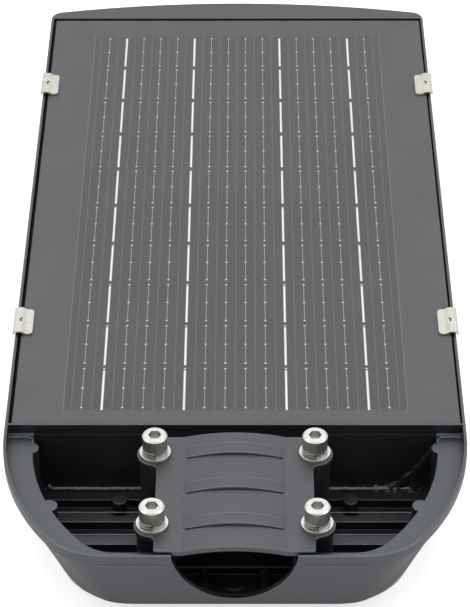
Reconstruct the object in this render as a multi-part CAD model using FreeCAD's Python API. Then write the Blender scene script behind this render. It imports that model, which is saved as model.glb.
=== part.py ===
import FreeCAD, Part
import math
import os

V = FreeCAD.Vector

# Solar street-light head, clamped on a pole spigot at its near end.
# Millimetres. X runs across the head, Y from the pole end to the tip, Z up.
# The origin lies under the middle of the head, on the plane that it rests on.

# Solar panel
panel_width = 236.5
panel_length = 411.0
panel_corner = 1.0
glass_thickness = 3.2
laminate_thickness = 1.2
seal_thickness = 1.0
seal_inset = 1.0
panel_side_gap = 0.95
panel_near_gap = 0.3
panel_tip_gap = 3.0
shelf_width = 12.0
shelf_thickness = 3.0

# Cells under the glass
cell_rows = 10
cell_width = 182.0
cell_strip = 36.4
cell_row_gap = 2.0
cell_border = 13.1
cell_thickness = 0.25
ribbon_thickness = 0.15
ribbon_width = 1.3
ribbon_setback = 1.4
busbar_count = 16
busbar_pitch = 10.9
ribbon_busbar_index = (1, 5, 10, 14)

# Head outline and top band
head_depth = 53.0
rim_wall = 1.6
bow_offset = 9.0
bow_setback = 8.0
well_length = 102.2
rim_near_corner = 35.0
nose_length = 19.6
nose_radius = 576.0
rim_tip_corner = 8.0
band_height = 6.3
band_top_edge = 0.5
band_low_edge = 0.6

# Body under the band
body_step = 1.0
body_lean = 20.6
body_base_corner = 26.0
body_base_tip_lean = 20.0
body_base_tip_corner = 24.0
body_wall = 3.0
body_floor = 3.5
ramp_length = 39.0
ramp_rise = 20.0
ramp_floor = 4.6
base_edge_radius = 1.5

# Clamp well
ledge_drop = 6.6
ledge_width = 15.0
well_border = 10.2
well_corner = 24.0
well_draft = 2.8
well_wall = 2.4
partition_lip = 1.2
partition_draft = 1.7
partition_thickness = 3.2
foot_cove = 1.8
ledge_cove = 1.4
tab_radius = 4.2
tab_places = ((-1.0, 10.9), (11.4, 56.5))

# Fins on the well floor
fin_top = 10.0
fin_groove = 4.6
fin_pitch = 17.5
fin_width = 7.6
fin_count = 4
fin_setback = 10.7
post_radius = 3.8
post_recess_radius = 7.5
post_top = 15.0
post_x = 61.0
post_setback = 16.0

# Seat for the pole spigot
pipe_radius = 31.5
pipe_axis_rise = 2.5
cradle_setbacks = (25.0, 60.0)
cradle_thickness = 5.0
cradle_half_width = 37.0
duct_rib_x = 15.0
duct_rib_thickness = 2.5
duct_rib_height = 3.0
ejector_mark_radius = 3.8
ejector_mark_height = 0.5
ejector_mark_setback = 86.0

# Clamp saddle
boss_radius = 8.0
bolt_half_spacing = 41.2
bolt_pitch = 54.9
bolt_setback = 24.6
saddle_half_width = 40.2
saddle_length = 88.1
saddle_setback = 11.4
saddle_thickness = 3.0
saddle_top_rise = 1.0
saddle_corner = 1.5
arch_half_width = 26.3
arch_rise = 3.2
lug_radius = 9.3
lug_fillet = 3.0
rib_count = 3
rib_length = 9.2
rib_pitch = 27.3
rib_setback = 8.3
rib_rise = 1.4

# Clamp fasteners, M8
bolt_radius = 4.0
bolt_clearance = 0.5
thread_clearance = 0.05
bolt_length = 45.0
bolt_well = 1.5
bolt_head_radius = 6.5
bolt_head_height = 8.0
bolt_head_edge = 0.8
bolt_tip_chamfer = 1.0
hex_across_flats = 6.0
hex_depth = 4.0
flat_washer_radius = 8.1
flat_washer_thickness = 1.6
spring_washer_radius = 6.7
spring_washer_bore = 4.2
spring_washer_wire = 2.0
spring_washer_gape = 1.1
spring_washer_turn = 346.0

# Panel clips
clip_width = 22.0
clip_sheet = 1.0
clip_clearance = 0.3
clip_reach = 6.85
clip_lift = 0.6
clip_hook = 2.15
clip_knee = 0.5
clip_slope = 2.2
clip_corner = 2.5
clip_places = (86.6, 331.8)
barb_radius = 2.0
barb_offset = 0.9

# Light window
window_y = 148.0
window_half_width = 88.0
window_half_length = 68.0
window_corner = 8.0
window_ledge = 9.0
window_wall = 3.5
window_clearance = 0.4
lens_recess = 2.5
bezel_thickness = 2.5
lens_flange = 2.0
lens_gasket = 1.0
lamp_pocket = 3.6
lamp_board_thickness = 1.6
lamp_board_clearance = 1.5
lamp_columns = 6
lamp_rows = 4
dome_border_x = 4.5
dome_border_y = 9.0
chip_size = 5.0
chip_height = 0.8
dome_radius = 9.5
dome_height = 3.6
dome_land = 0.2
dome_steps = 2
lamp_screw_columns = 1.5
lamp_screw_rows = 1.0
bezel_screw_length = 11.0
lamp_screw_length = 4.0

# Motion sensor
sensor_y = 40.0
sensor_recess_radius = 17.0
sensor_recess_depth = 7.0
sensor_block_height = 11.0
sensor_block_wall = 3.5
sensor_hole_radius = 7.0
sensor_flange_radius = 16.7
sensor_flange = 1.5
sensor_dome_radius = 10.5
sensor_dome_drop = 4.8
sensor_dome_wall = 1.2
sensor_dome_steps = 3
sensor_board_length = 34.0
sensor_board_width = 17.0
sensor_can_radius = 4.6
sensor_can_depth = 5.0
sensor_screw_x = 13.0
sensor_screw_length = 4.0

# Battery
battery_cell = 32.5
battery_length = 141.0
battery_cells = 3
battery_wrap = 0.4
battery_setback = 24.0
strap_width = 18.0
strap_thickness = 1.5
strap_half_spacing = 42.0
strap_clearance = 0.3
strap_foot = 12.0
strap_screw_length = 5.0
foot_boss_height = 4.0
foot_boss_radius = 5.0

# Controller
board_length = 116.0
board_width = 44.0
board_thickness = 1.6
board_setback = 139.0
board_hole_inset = 4.5
standoff_height = 7.0
standoff_radius = 3.5
terminal_x = 41.0
terminal_width = 10.0
terminal_length = 30.0
terminal_height = 9.0
heat_sink_size = 22.0
heat_sink_height = 6.0
capacitor_x = 23.0
capacitor_spacing = 16.0
capacitor_radius = 6.3
capacitor_height = 13.0
coil_radius = 7.5
coil_height = 7.0

# Junction box under the panel
junction_length = 62.0
junction_width = 42.0
junction_height = 13.0
junction_setback = 268.0
junction_corner = 3.0
spout_width = 20.0
spout_length = 4.0
spout_height = 7.0
spout_lift = 2.0

# Small pan-head screws, M3
small_radius = 1.5
small_clearance = 0.2
small_bite = 0.02
small_head_radius = 2.9
small_head_height = 2.0
small_length = 6.0
small_socket = 2.0
small_socket_depth = 1.2

# Cutting shapes run past the faces that they open, and joined ones into each other
overcut = 1.0

# Widths and planes derived from the sizes above
pocket_half_width = panel_width / 2 + panel_side_gap
rim_half_width = pocket_half_width + rim_wall
well_half_width = rim_half_width - ledge_width
partition_top = partition_lip + panel_near_gap
length_overall = well_length + partition_top + panel_length + panel_tip_gap + nose_length
tip_y = length_overall / 2
pocket_tip_y = tip_y - nose_length
panel_far_y = pocket_tip_y - panel_tip_gap
panel_near_y = panel_far_y - panel_length
partition_y = panel_near_y - partition_top
rim_near_y = partition_y - well_length
bow_start_y = partition_y - bow_setback
pocket_near_y = partition_y + partition_lip
bay_near_y = partition_y + partition_thickness
glass_bottom_z = head_depth - glass_thickness
seal_top_z = glass_bottom_z - laminate_thickness
shelf_z = seal_top_z - seal_thickness
bay_top_z = shelf_z - shelf_thickness
ledge_z = head_depth - ledge_drop
parting_z = head_depth - band_height
saddle_top_z = head_depth + saddle_top_rise
saddle_low_z = saddle_top_z - saddle_thickness
spring_base_z = saddle_top_z + flat_washer_thickness
bolt_seat_z = spring_base_z + spring_washer_wire + spring_washer_gape
pipe_axis_z = head_depth + pipe_axis_rise
body_near_y = rim_near_y + body_step
ramp_start_y = body_near_y + ramp_length
ramp_slope = ramp_rise / ramp_length
window_flange_z = lens_recess + bezel_thickness
window_gasket_z = window_flange_z + lens_flange
window_seat_z = window_gasket_z + lens_gasket
lamp_ceiling_z = window_seat_z + lamp_pocket
lamp_board_z = lamp_ceiling_z - lamp_board_thickness
window_block_z = lamp_ceiling_z + window_wall
cell_top_z = glass_bottom_z - ribbon_thickness
battery_width = battery_cells * battery_cell + 2 * battery_wrap
battery_height = battery_cell + 2 * battery_wrap
battery_y = partition_y + battery_setback
board_y = partition_y + board_setback
board_z = body_floor + standoff_height
foot_z = body_floor + foot_boss_height
lamp_pitch_x = 2 * (window_half_width - window_ledge - dome_border_x - dome_radius) / (lamp_columns - 1)
lamp_pitch_y = 2 * (window_half_length - window_ledge - dome_border_y - dome_radius) / (lamp_rows - 1)
far_off = 2 * rim_half_width


def box(x0, x1, y0, y1, z0, z1):
    return Part.makeBox(x1 - x0, y1 - y0, z1 - z0, V(x0, y0, z0))


def post(x, y, z0, z1, radius):
    return Part.makeCylinder(radius, z1 - z0, V(x, y, z0))


def fuse(shapes):
    result = shapes[0]
    if len(shapes) > 1:
        result = result.multiFuse(shapes[1:]).removeSplitter()
    return result


def on_circle(centre, radius, towards):
    return centre + (towards - centre).normalize() * radius


def arc(centre, radius, start, end):
    middle = on_circle(centre, radius, (start + end) * 0.5)
    return Part.Arc(start, middle, end).toShape()


def line(start, end):
    return Part.LineSegment(start, end).toShape()


def mirrored(point):
    return V(-point.x, point.y, point.z)


def polygon(points):
    return Part.Face(Part.makePolygon(points + [points[0]]))


def near_edges(half_width, near_y, corner, z):
    # The side bends in along one wide arc, then a tighter arc turns the corner.
    side_radius = half_width + bow_offset
    side_centre = V(-bow_offset, bow_start_y, z)
    corner_y = near_y + corner
    corner_x = math.sqrt((side_radius - corner) ** 2 - (corner_y - bow_start_y) ** 2) - bow_offset
    corner_centre = V(corner_x, corner_y, z)
    bend = on_circle(side_centre, side_radius, corner_centre)
    foot = V(corner_x, near_y, z)
    shoulder = V(half_width, bow_start_y, z)
    right = [arc(corner_centre, corner, foot, bend), arc(side_centre, side_radius, bend, shoulder)]
    left = [
        arc(mirrored(side_centre), side_radius, mirrored(shoulder), mirrored(bend)),
        arc(mirrored(corner_centre), corner, mirrored(bend), mirrored(foot)),
    ]
    return left + [line(mirrored(foot), foot)] + right


def head_wire(half_width, near_y, near_corner, end_y, end_corner, z):
    # Closed plan outline of the whole head, concentric with the rim at its tip.
    arc_radius = nose_radius - (tip_y - end_y)
    arc_centre = V(0, tip_y - nose_radius, z)
    corner_x = half_width - end_corner
    corner_y = arc_centre.y + math.sqrt((arc_radius - end_corner) ** 2 - corner_x ** 2)
    corner_centre = V(corner_x, corner_y, z)
    side_end = V(half_width, corner_y, z)
    turn = on_circle(arc_centre, arc_radius, corner_centre)
    edges = near_edges(half_width, near_y, near_corner, z)
    edges.append(line(V(half_width, bow_start_y, z), side_end))
    edges.append(arc(corner_centre, end_corner, side_end, turn))
    edges.append(Part.Arc(turn, V(0, end_y, z), mirrored(turn)).toShape())
    edges.append(arc(mirrored(corner_centre), end_corner, mirrored(turn), mirrored(side_end)))
    edges.append(line(mirrored(side_end), V(-half_width, bow_start_y, z)))
    return Part.Wire(edges)


def well_wire(half_width, near_y, corner, back_y, z):
    # Plan outline of the clamp well, closed straight across at the partition.
    shoulder = V(half_width, bow_start_y, z)
    back = V(half_width, back_y, z)
    edges = near_edges(half_width, near_y, corner, z)
    edges.append(line(shoulder, back))
    edges.append(line(back, mirrored(back)))
    edges.append(line(mirrored(back), mirrored(shoulder)))
    return Part.Wire(edges)


def rounded_block(half_width, y0, y1, corner, z0, z1):
    block = box(-half_width, half_width, y0, y1, z0, z1)
    upright = [edge for edge in block.Edges if edge.BoundBox.ZLength > (z1 - z0) / 2]
    return block.makeFillet(corner, upright)


def body_wire(z, inset):
    # Share of the way down from the band to the resting plane.
    down = (parting_z - z) / parting_z
    half_width = rim_half_width - body_step - body_lean * down - inset
    top_corner = rim_near_corner - body_step
    near_corner = top_corner + (body_base_corner - top_corner) * down - inset
    end_y = tip_y - body_step - body_base_tip_lean * down - inset
    end_corner = rim_tip_corner + (body_base_tip_corner - rim_tip_corner) * down
    return head_wire(half_width, body_near_y + inset, near_corner, end_y, end_corner, z)


def under_ramp(lift):
    # Everything below the sloping part of the underside, raised by lift.
    beyond = 20.0
    near = V(-far_off, body_near_y - beyond, ramp_top(body_near_y - beyond, lift))
    start = V(-far_off, ramp_start_y + lift / ramp_slope, 0)
    below = V(-far_off, start.y, -beyond)
    corner = V(-far_off, near.y, -beyond)
    return polygon([near, start, below, corner]).extrude(V(2 * far_off, 0, 0))


def ramp_top(y, lift):
    return (ramp_start_y - y) * ramp_slope + lift


def at_ramp_start(edge):
    spot = edge.BoundBox
    return spot.YLength < 0.1 and abs(spot.YMin - ramp_start_y) < 0.1


def outer_body():
    body = Part.makeLoft([body_wire(0, 0), body_wire(parting_z, 0)], True, True)
    body = body.cut(under_ramp(0))
    keel = [e for e in body.Edges if e.BoundBox.ZMax < ramp_rise + overcut and not at_ramp_start(e)]
    body = body.makeFillet(base_edge_radius, keel)
    outline = head_wire(rim_half_width, rim_near_y, rim_near_corner, tip_y, rim_tip_corner, parting_z)
    band = Part.Face(outline).extrude(V(0, 0, band_height))
    low = [e for e in band.Edges if e.BoundBox.ZMax < parting_z + 0.1]
    band = band.makeChamfer(band_low_edge, low)
    top = [e for e in band.Edges if e.BoundBox.ZMin > head_depth - 0.1]
    band = band.makeChamfer(band_top_edge, top)
    return fuse([body, band])


def fin_rows():
    # Near and far edge of each land, the first one reaching the partition.
    rows = []
    for index in range(fin_count):
        near_y = partition_y - fin_setback - index * fin_pitch
        far_y = near_y + fin_width if index else partition_y
        rows.append((near_y, far_y))
    return rows


def bolt_places():
    far_y = partition_y - bolt_setback
    return [(side * bolt_half_spacing, y) for y in (far_y - bolt_pitch, far_y) for side in (-1, 1)]


def window_screw_places():
    x = window_half_width - window_ledge / 2
    y = window_half_length - window_ledge / 2
    spots = [(side * x, window_y + end * y) for side in (-1, 1) for end in (-1, 0, 1)]
    return spots + [(0, window_y - y), (0, window_y + y)]


def strap_screw_places():
    reach = strap_clearance + strap_thickness + strap_foot / 2
    rows = (battery_y - reach, battery_y + battery_width + reach)
    return [(side * strap_half_spacing, y) for side in (-1, 1) for y in rows]


def board_screw_places():
    x = board_length / 2 - board_hole_inset
    rows = (board_y + board_hole_inset, board_y + board_width - board_hole_inset)
    return [(side * x, y) for side in (-1, 1) for y in rows]


def sensor_screw_places():
    return [(-sensor_screw_x, sensor_y), (sensor_screw_x, sensor_y)]


def lamp_screw_places():
    spots = [(across, along) for across in (-1, 1) for along in (-1, 1)]
    x = lamp_screw_columns * lamp_pitch_x
    y = lamp_screw_rows * lamp_pitch_y
    return [(across * x, window_y + along * y) for across, along in spots]


def lamp_places():
    places = []
    for column in range(lamp_columns):
        for row in range(lamp_rows):
            x = (column - (lamp_columns - 1) / 2) * lamp_pitch_x
            y = window_y + (row - (lamp_rows - 1) / 2) * lamp_pitch_y
            places.append((x, y))
    return places


def well_cut():
    # Open well with drafted walls, a finned floor and a sloping end.
    near_y = rim_near_y + well_border
    top = well_wire(well_half_width, near_y, well_corner, partition_y, ledge_z + overcut)
    base_half = well_half_width - well_draft
    base_back = partition_y - partition_draft
    base = well_wire(base_half, near_y, well_corner - well_draft, base_back, fin_groove)
    opening = Part.makeLoft([base, top], True, True)
    hollow_near = body_near_y + body_wall
    roof_z = ledge_z - shelf_thickness
    hollow = box(-cradle_half_width, cradle_half_width, hollow_near, near_y + overcut, fin_groove, roof_z)
    inside = Part.makeLoft([body_wire(0, well_wall), body_wire(parting_z, well_wall)], True, True)
    opening = opening.fuse(hollow).common(inside).cut(under_ramp(ramp_floor))
    lands = []
    for near_edge, far_edge in fin_rows():
        lands.append(box(-far_off, far_off, near_edge, far_edge, 0, fin_top))
    lands = lands[0].multiFuse(lands[1:])
    for side in (-1, 1):
        y = partition_y - post_setback
        lands = lands.cut(post(side * post_x, y, fin_groove, fin_top + overcut, post_recess_radius))
    return opening.cut(lands)


def bay_cut():
    # Room for battery and electronics, under a shelf for the panel seal.
    room = Part.makeLoft([body_wire(body_floor, body_wall), body_wire(bay_top_z, body_wall)], True, True)
    room = room.common(box(-far_off, far_off, bay_near_y, tip_y, 0, bay_top_z))
    mouth_x = panel_width / 2 - shelf_width
    near_y = panel_near_y + shelf_width
    mouth = box(-mouth_x, mouth_x, near_y, panel_far_y - shelf_width, bay_top_z - overcut, head_depth)
    return room.fuse(mouth)


def cove(x0, x1, y, z, radius):
    # Hollow round strip in the corner between a floor at z and a wall beyond y.
    near = V(x0, y - radius, z)
    high = V(x0, y, z + radius)
    curve = arc(V(x0, near.y, high.z), radius, near, high)
    back = V(x0, y + overcut, high.z)
    under = V(x0, back.y, z - overcut)
    low = V(x0, near.y, under.z)
    rest = [line(high, back), line(back, under), line(under, low), line(low, near)]
    return Part.Face(Part.Wire([curve] + rest)).extrude(V(x1 - x0, 0, 0))


def coves(limit):
    # The partition meets the first land and both ends of the ledge in a cove.
    wall_top = ledge_z + overcut
    share = (wall_top - fin_top - foot_cove) / (wall_top - fin_groove)
    foot = cove(-well_half_width, well_half_width, partition_y - partition_draft * share, fin_top, foot_cove)
    left = cove(-pocket_half_width, -well_half_width, partition_y, ledge_z, ledge_cove)
    right = cove(well_half_width, pocket_half_width, partition_y, ledge_z, ledge_cove)
    return [foot.common(limit), left, right]


def cradle(y):
    # Cross rib with a round seat for the spigot.
    top = pipe_axis_z - pipe_radius / 2
    rib = box(-cradle_half_width, cradle_half_width, y, y + cradle_thickness, fin_groove - overcut, top)
    start = V(0, y - overcut, pipe_axis_z)
    seat = Part.makeCylinder(pipe_radius, cradle_thickness + 2 * overcut, start, V(0, 1, 0))
    return rib.cut(seat)


def duct_rib(x):
    # Low rib on the sloping floor, from the last fin to the end wall.
    y0 = body_near_y + body_wall - overcut
    y1 = fin_rows()[-1][0] + overcut
    x0 = x - duct_rib_thickness / 2
    crest = ramp_floor + duct_rib_height
    low = overcut
    base = [V(x0, y0, ramp_top(y0, low)), V(x0, y1, low)]
    side = base + [V(x0, y1, ramp_top(y1, crest)), V(x0, y0, ramp_top(y0, crest))]
    return polygon(side).extrude(V(duct_rib_thickness, 0, 0))


def well_additions(limit):
    added = coves(limit)
    for side in (-1, 1):
        y = partition_y - post_setback
        added.append(post(side * post_x, y, fin_groove - overcut, post_top, post_radius))
        for inward, setback in tab_places:
            x = side * (well_half_width - inward)
            column = post(x, partition_y - setback, fin_groove - overcut, ledge_z, tab_radius)
            added.append(column.common(limit))
        added.append(duct_rib(side * duct_rib_x))
    for x, y in bolt_places():
        column = post(x, y, overcut, saddle_low_z, boss_radius)
        added.append(column.cut(under_ramp(overcut)))
    for setback in cradle_setbacks:
        added.append(cradle(partition_y - setback - cradle_thickness / 2))
    normal = V(0, ramp_rise, ramp_length).normalize()
    y = partition_y - ejector_mark_setback
    foot = V(0, y, ramp_top(y, ramp_floor)) - normal * overcut
    added.append(Part.makeCylinder(ejector_mark_radius, overcut + ejector_mark_height, foot, normal))
    return added


def bay_additions():
    added = []
    for x, y in strap_screw_places():
        added.append(post(x, y, overcut, foot_z, foot_boss_radius))
    for x, y in board_screw_places():
        added.append(post(x, y, overcut, board_z, standoff_radius))
    wide = window_half_width + window_wall
    long = window_half_length + window_wall
    corner = window_corner + window_wall
    added.append(rounded_block(wide, window_y - long, window_y + long, corner, overcut, window_block_z))
    added.append(post(0, sensor_y, overcut, sensor_block_height, sensor_recess_radius + sensor_block_wall))
    return added


def housing_holes():
    holes = []
    y0 = window_y - window_half_length
    y1 = window_y + window_half_length
    holes.append(rounded_block(window_half_width, y0, y1, window_corner, -overcut, window_seat_z))
    inner = window_half_width - window_ledge
    corner = window_corner / 2
    holes.append(rounded_block(inner, y0 + window_ledge, y1 - window_ledge, corner, 0, lamp_ceiling_z))
    thread = small_radius + small_bite
    for x, y in window_screw_places():
        holes.append(post(x, y, 0, lens_recess + bezel_screw_length, thread))
    for x, y in lamp_screw_places():
        holes.append(post(x, y, 0, lamp_board_z + lamp_screw_length, thread))
    holes.append(post(0, sensor_y, -overcut, sensor_recess_depth, sensor_recess_radius))
    holes.append(post(0, sensor_y, 0, sensor_block_height + overcut, sensor_hole_radius))
    for x, y in sensor_screw_places():
        low = sensor_block_height + board_thickness - sensor_screw_length
        holes.append(post(x, y, low, sensor_block_height + overcut, thread))
    for x, y in bolt_places():
        low = bolt_seat_z - bolt_length - bolt_well
        holes.append(post(x, y, low, head_depth, bolt_radius + thread_clearance))
    mouth_start = V(0, rim_near_y - overcut, pipe_axis_z)
    mouth_length = well_border + 2 * overcut
    holes.append(Part.makeCylinder(pipe_radius, mouth_length, mouth_start, V(0, 1, 0)))
    for x, y in strap_screw_places():
        holes.append(post(x, y, foot_z + strap_thickness - strap_screw_length, foot_z + overcut, thread))
    for x, y in board_screw_places():
        holes.append(post(x, y, board_z + board_thickness - small_length, board_z + overcut, thread))
    return holes


def housing():
    whole = outer_body()
    lip_near = rim_near_y + rim_wall
    lip_corner = rim_near_corner - rim_wall
    lip = Part.Face(well_wire(pocket_half_width, lip_near, lip_corner, partition_y, ledge_z))
    lip_pocket = lip.extrude(V(0, 0, ledge_drop + overcut))
    half = pocket_half_width
    pocket = box(-half, half, pocket_near_y, pocket_tip_y, shelf_z, head_depth + overcut)
    body = whole.cut([lip_pocket, pocket, well_cut(), bay_cut()])
    body = fuse([body] + well_additions(whole) + bay_additions())
    return body.cut(housing_holes())


def panel_block(inset, z0, z1):
    half = panel_width / 2 - inset
    return rounded_block(half, panel_near_y + inset, panel_far_y - inset, panel_corner, z0, z1)


def cell_spans():
    start = panel_near_y + cell_border
    step = cell_strip + cell_row_gap
    return [(start + row * step, start + row * step + cell_strip) for row in range(cell_rows)]


def cell_strips(top_z):
    half = cell_width / 2
    low = cell_top_z - cell_thickness
    return [box(-half, half, y0, y1, low, top_z) for y0, y1 in cell_spans()]


def ribbons():
    strips = []
    for y0, y1 in cell_spans():
        for busbar in ribbon_busbar_index:
            x = (busbar - (busbar_count - 1) / 2) * busbar_pitch
            near = y0 + ribbon_setback
            far = y1 - ribbon_setback
            half = ribbon_width / 2
            strips.append(box(x - half, x + half, near, far, cell_top_z, glass_bottom_z))
    return strips


def backsheet():
    # The soft sheet is pressed round the cells, which show clear through the glass.
    sheet = panel_block(0, seal_top_z, glass_bottom_z)
    return sheet.cut(cell_strips(glass_bottom_z))


def seal():
    outer = panel_block(seal_inset, shelf_z, seal_top_z)
    half = panel_width / 2 - shelf_width
    y0 = panel_near_y + shelf_width
    y1 = panel_far_y - shelf_width
    return outer.cut(box(-half, half, y0, y1, shelf_z - overcut, seal_top_z + overcut))


def junction_box():
    y0 = panel_near_y + junction_setback
    low = seal_top_z - junction_height
    shell = rounded_block(junction_length / 2, y0, y0 + junction_width, junction_corner, low, seal_top_z)
    half = spout_width / 2
    spout_low = low + spout_lift
    spout = box(-half, half, y0 - spout_length, y0 + overcut, spout_low, spout_low + spout_height)
    return fuse([shell, spout])


def clip(side, setback):
    # Bent sheet hooked under the band, over the rim and down on the glass.
    outer = rim_half_width + clip_clearance + clip_sheet
    inner = outer - clip_sheet
    tip = panel_width / 2 - clip_reach
    over = head_depth + clip_lift
    knee = panel_width / 2 - clip_knee
    heel = knee - clip_slope
    hook = outer - clip_hook
    t = clip_sheet
    half = t / 2
    points = [
        (hook, parting_z - t), (outer, parting_z - t), (outer, over + t), (knee, over + t),
        (heel, head_depth + t), (tip, head_depth + t), (tip, head_depth), (heel + half, head_depth),
        (knee + half, over), (inner, over), (inner, parting_z), (hook, parting_z),
    ]
    y = panel_near_y + setback
    start = y - clip_width / 2
    sheet = polygon([V(px, start, pz) for px, pz in points]).extrude(V(0, clip_width, 0))
    ends = [e for e in sheet.Edges if e.BoundBox.YLength < 0.1 and abs(e.BoundBox.XMax - tip) < 0.1]
    sheet = sheet.makeFillet(clip_corner, ends)
    middle = heel - barb_radius
    low = head_depth - t
    barb = post(middle, y, low, low + 3 * t, barb_radius)
    sheet = sheet.cut(barb.cut(post(middle - barb_offset, y, low, low + 3 * t, barb_radius)))
    if side < 0:
        sheet = sheet.mirror(V(0, 0, 0), V(1, 0, 0))
    return sheet


def arch_bar(y0, y1, low_z, top_z, rise):
    # Bar with the saddle's arched section, from y0 to y1.
    half = arch_half_width
    top = Part.Arc(V(half, y0, top_z), V(0, y0, top_z + rise), V(-half, y0, top_z)).toShape()
    low = Part.Arc(V(-half, y0, low_z), V(0, y0, low_z + rise), V(half, y0, low_z)).toShape()
    left = line(V(-half, y0, top_z), V(-half, y0, low_z))
    right = line(V(half, y0, low_z), V(half, y0, top_z))
    return Part.Face(Part.Wire([top, left, low, right])).extrude(V(0, y1 - y0, 0))


def at_lug_root(edge):
    upright = edge.BoundBox.ZLength > saddle_thickness / 2 and edge.BoundBox.YLength < 0.1
    return upright and abs(abs(edge.BoundBox.Center.x) - saddle_half_width) < 0.1


def saddle():
    far_y = partition_y - saddle_setback
    near_y = far_y - saddle_length
    low = saddle_low_z
    top = saddle_top_z
    plate = rounded_block(saddle_half_width, near_y, far_y, saddle_corner, low, top)
    plate = fuse([plate] + [post(x, y, low, top, lug_radius) for x, y in bolt_places()])
    roots = [edge for edge in plate.Edges if at_lug_root(edge)]
    plate = plate.makeFillet(lug_fillet, roots)
    half = arch_half_width
    plate = plate.cut(box(-half, half, near_y - overcut, far_y + overcut, low - overcut, top + overcut))
    pieces = [plate, arch_bar(near_y, far_y, low, top, arch_rise)]
    hollows = []
    for index in range(rib_count):
        y1 = far_y - rib_setback - index * rib_pitch
        y0 = y1 - rib_length
        pieces.append(arch_bar(y0, y1, low, top, arch_rise + rib_rise))
        hollows.append(arch_bar(y0, y1, low - saddle_thickness, low, arch_rise + rib_rise))
    hole = bolt_radius + bolt_clearance
    hollows += [post(x, y, low - overcut, top + overcut, hole) for x, y in bolt_places()]
    return fuse(pieces).cut(hollows)


def bolt(x, y):
    top = bolt_seat_z + bolt_head_height
    tip_z = bolt_seat_z - bolt_length
    head = post(x, y, bolt_seat_z, top, bolt_head_radius)
    rim = [e for e in head.Edges if e.BoundBox.ZMin > top - 0.1]
    head = head.makeChamfer(bolt_head_edge, rim)
    shank = post(x, y, tip_z, bolt_seat_z + overcut, bolt_radius)
    tip = [e for e in shank.Edges if e.BoundBox.ZMax < tip_z + 0.1]
    shank = shank.makeChamfer(bolt_tip_chamfer, tip)
    radius = hex_across_flats / math.sqrt(3)
    points = []
    for corner in range(6):
        angle = math.radians(60 * corner)
        points.append(V(x + radius * math.cos(angle), y + radius * math.sin(angle), top - hex_depth))
    socket = polygon(points).extrude(V(0, 0, hex_depth + overcut))
    return fuse([head, shank]).cut(socket)


def flat_washer(x, y):
    disc = post(x, y, saddle_top_z, spring_base_z, flat_washer_radius)
    hole = bolt_radius + bolt_clearance
    return disc.cut(post(x, y, saddle_top_z - overcut, spring_base_z + overcut, hole))


def spring_washer(x, y):
    # Square wire in one sprung turn, its two ends a gape apart.
    inner = spring_washer_bore
    outer = spring_washer_radius
    wire = spring_washer_wire
    pitch = spring_washer_gape * 360 / spring_washer_turn
    helix = Part.makeHelix(pitch, spring_washer_gape, inner)
    corners = [V(inner, 0, 0), V(outer, 0, 0), V(outer, 0, wire), V(inner, 0, wire)]
    section = Part.makePolygon(corners + [corners[0]])
    coil = Part.Wire(helix.Edges).makePipeShell([section], True, True)
    coil.rotate(V(0, 0, 0), V(0, 0, 1), (360 - spring_washer_turn) / 2 - 90)
    coil.translate(V(x, y, spring_base_z))
    return coil


def small_screw(x, y, outer_z, length, way):
    # Pan head with its outer face at outer_z, facing up or down by way.
    axis = V(0, 0, -way)
    head = Part.makeCylinder(small_head_radius, small_head_height, V(x, y, outer_z), axis)
    shank = Part.makeCylinder(small_radius, small_head_height + length, V(x, y, outer_z), axis)
    half = small_socket / 2
    low = outer_z - small_socket_depth
    high = outer_z + small_socket_depth
    return fuse([head, shank]).cut(box(x - half, x + half, y - half, y + half, low, high))


def small_screws(places, seat_z, length, way):
    outer_z = seat_z + way * small_head_height
    return [small_screw(x, y, outer_z, length, way) for x, y in places]


def battery():
    top = body_floor + battery_height
    half = battery_length / 2
    block = box(-half, half, battery_y, battery_y + battery_width, body_floor, top)
    along = [e for e in block.Edges if e.BoundBox.XLength > half]
    return block.makeFillet(battery_height / 2 - battery_wrap, along)


def strap(x):
    inside = strap_clearance
    outside = inside + strap_thickness
    near_y = battery_y
    far_y = battery_y + battery_width
    top = body_floor + battery_height
    low = foot_z
    t = strap_thickness
    foot_near = near_y - outside - strap_foot
    foot_far = far_y + outside + strap_foot
    profile = [
        (foot_near, low), (near_y - inside, low), (near_y - inside, top),
        (far_y + inside, top), (far_y + inside, low), (foot_far, low),
        (foot_far, low + t), (far_y + outside, low + t), (far_y + outside, top + t),
        (near_y - outside, top + t), (near_y - outside, low + t), (foot_near, low + t),
    ]
    x0 = x - strap_width / 2
    band = polygon([V(x0, py, pz) for py, pz in profile]).extrude(V(strap_width, 0, 0))
    hole = small_radius + small_clearance
    holes = [post(sx, sy, low - overcut, low + t + overcut, hole) for sx, sy in strap_screw_places()]
    return band.cut(holes)


def plain_board(half, y0, y1, z0, thickness, places):
    board = box(-half, half, y0, y1, z0, z0 + thickness)
    hole = small_radius + small_clearance
    return board.cut([post(x, y, z0 - overcut, z0 + thickness + overcut, hole) for x, y in places])


def controller_parts():
    top = board_z + board_thickness
    middle = board_y + board_width / 2
    parts = []
    wide = terminal_width / 2
    long = terminal_length / 2
    for x in (-terminal_x, terminal_x):
        parts.append(box(x - wide, x + wide, middle - long, middle + long, top, top + terminal_height))
    half = heat_sink_size / 2
    parts.append(box(-half, half, middle - half, middle + half, top, top + heat_sink_height))
    for end in (-1, 1):
        y = middle + end * capacitor_spacing / 2
        parts.append(post(-capacitor_x, y, top, top + capacitor_height, capacitor_radius))
    parts.append(post(capacitor_x, middle, top, top + coil_height, coil_radius))
    return parts


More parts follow.
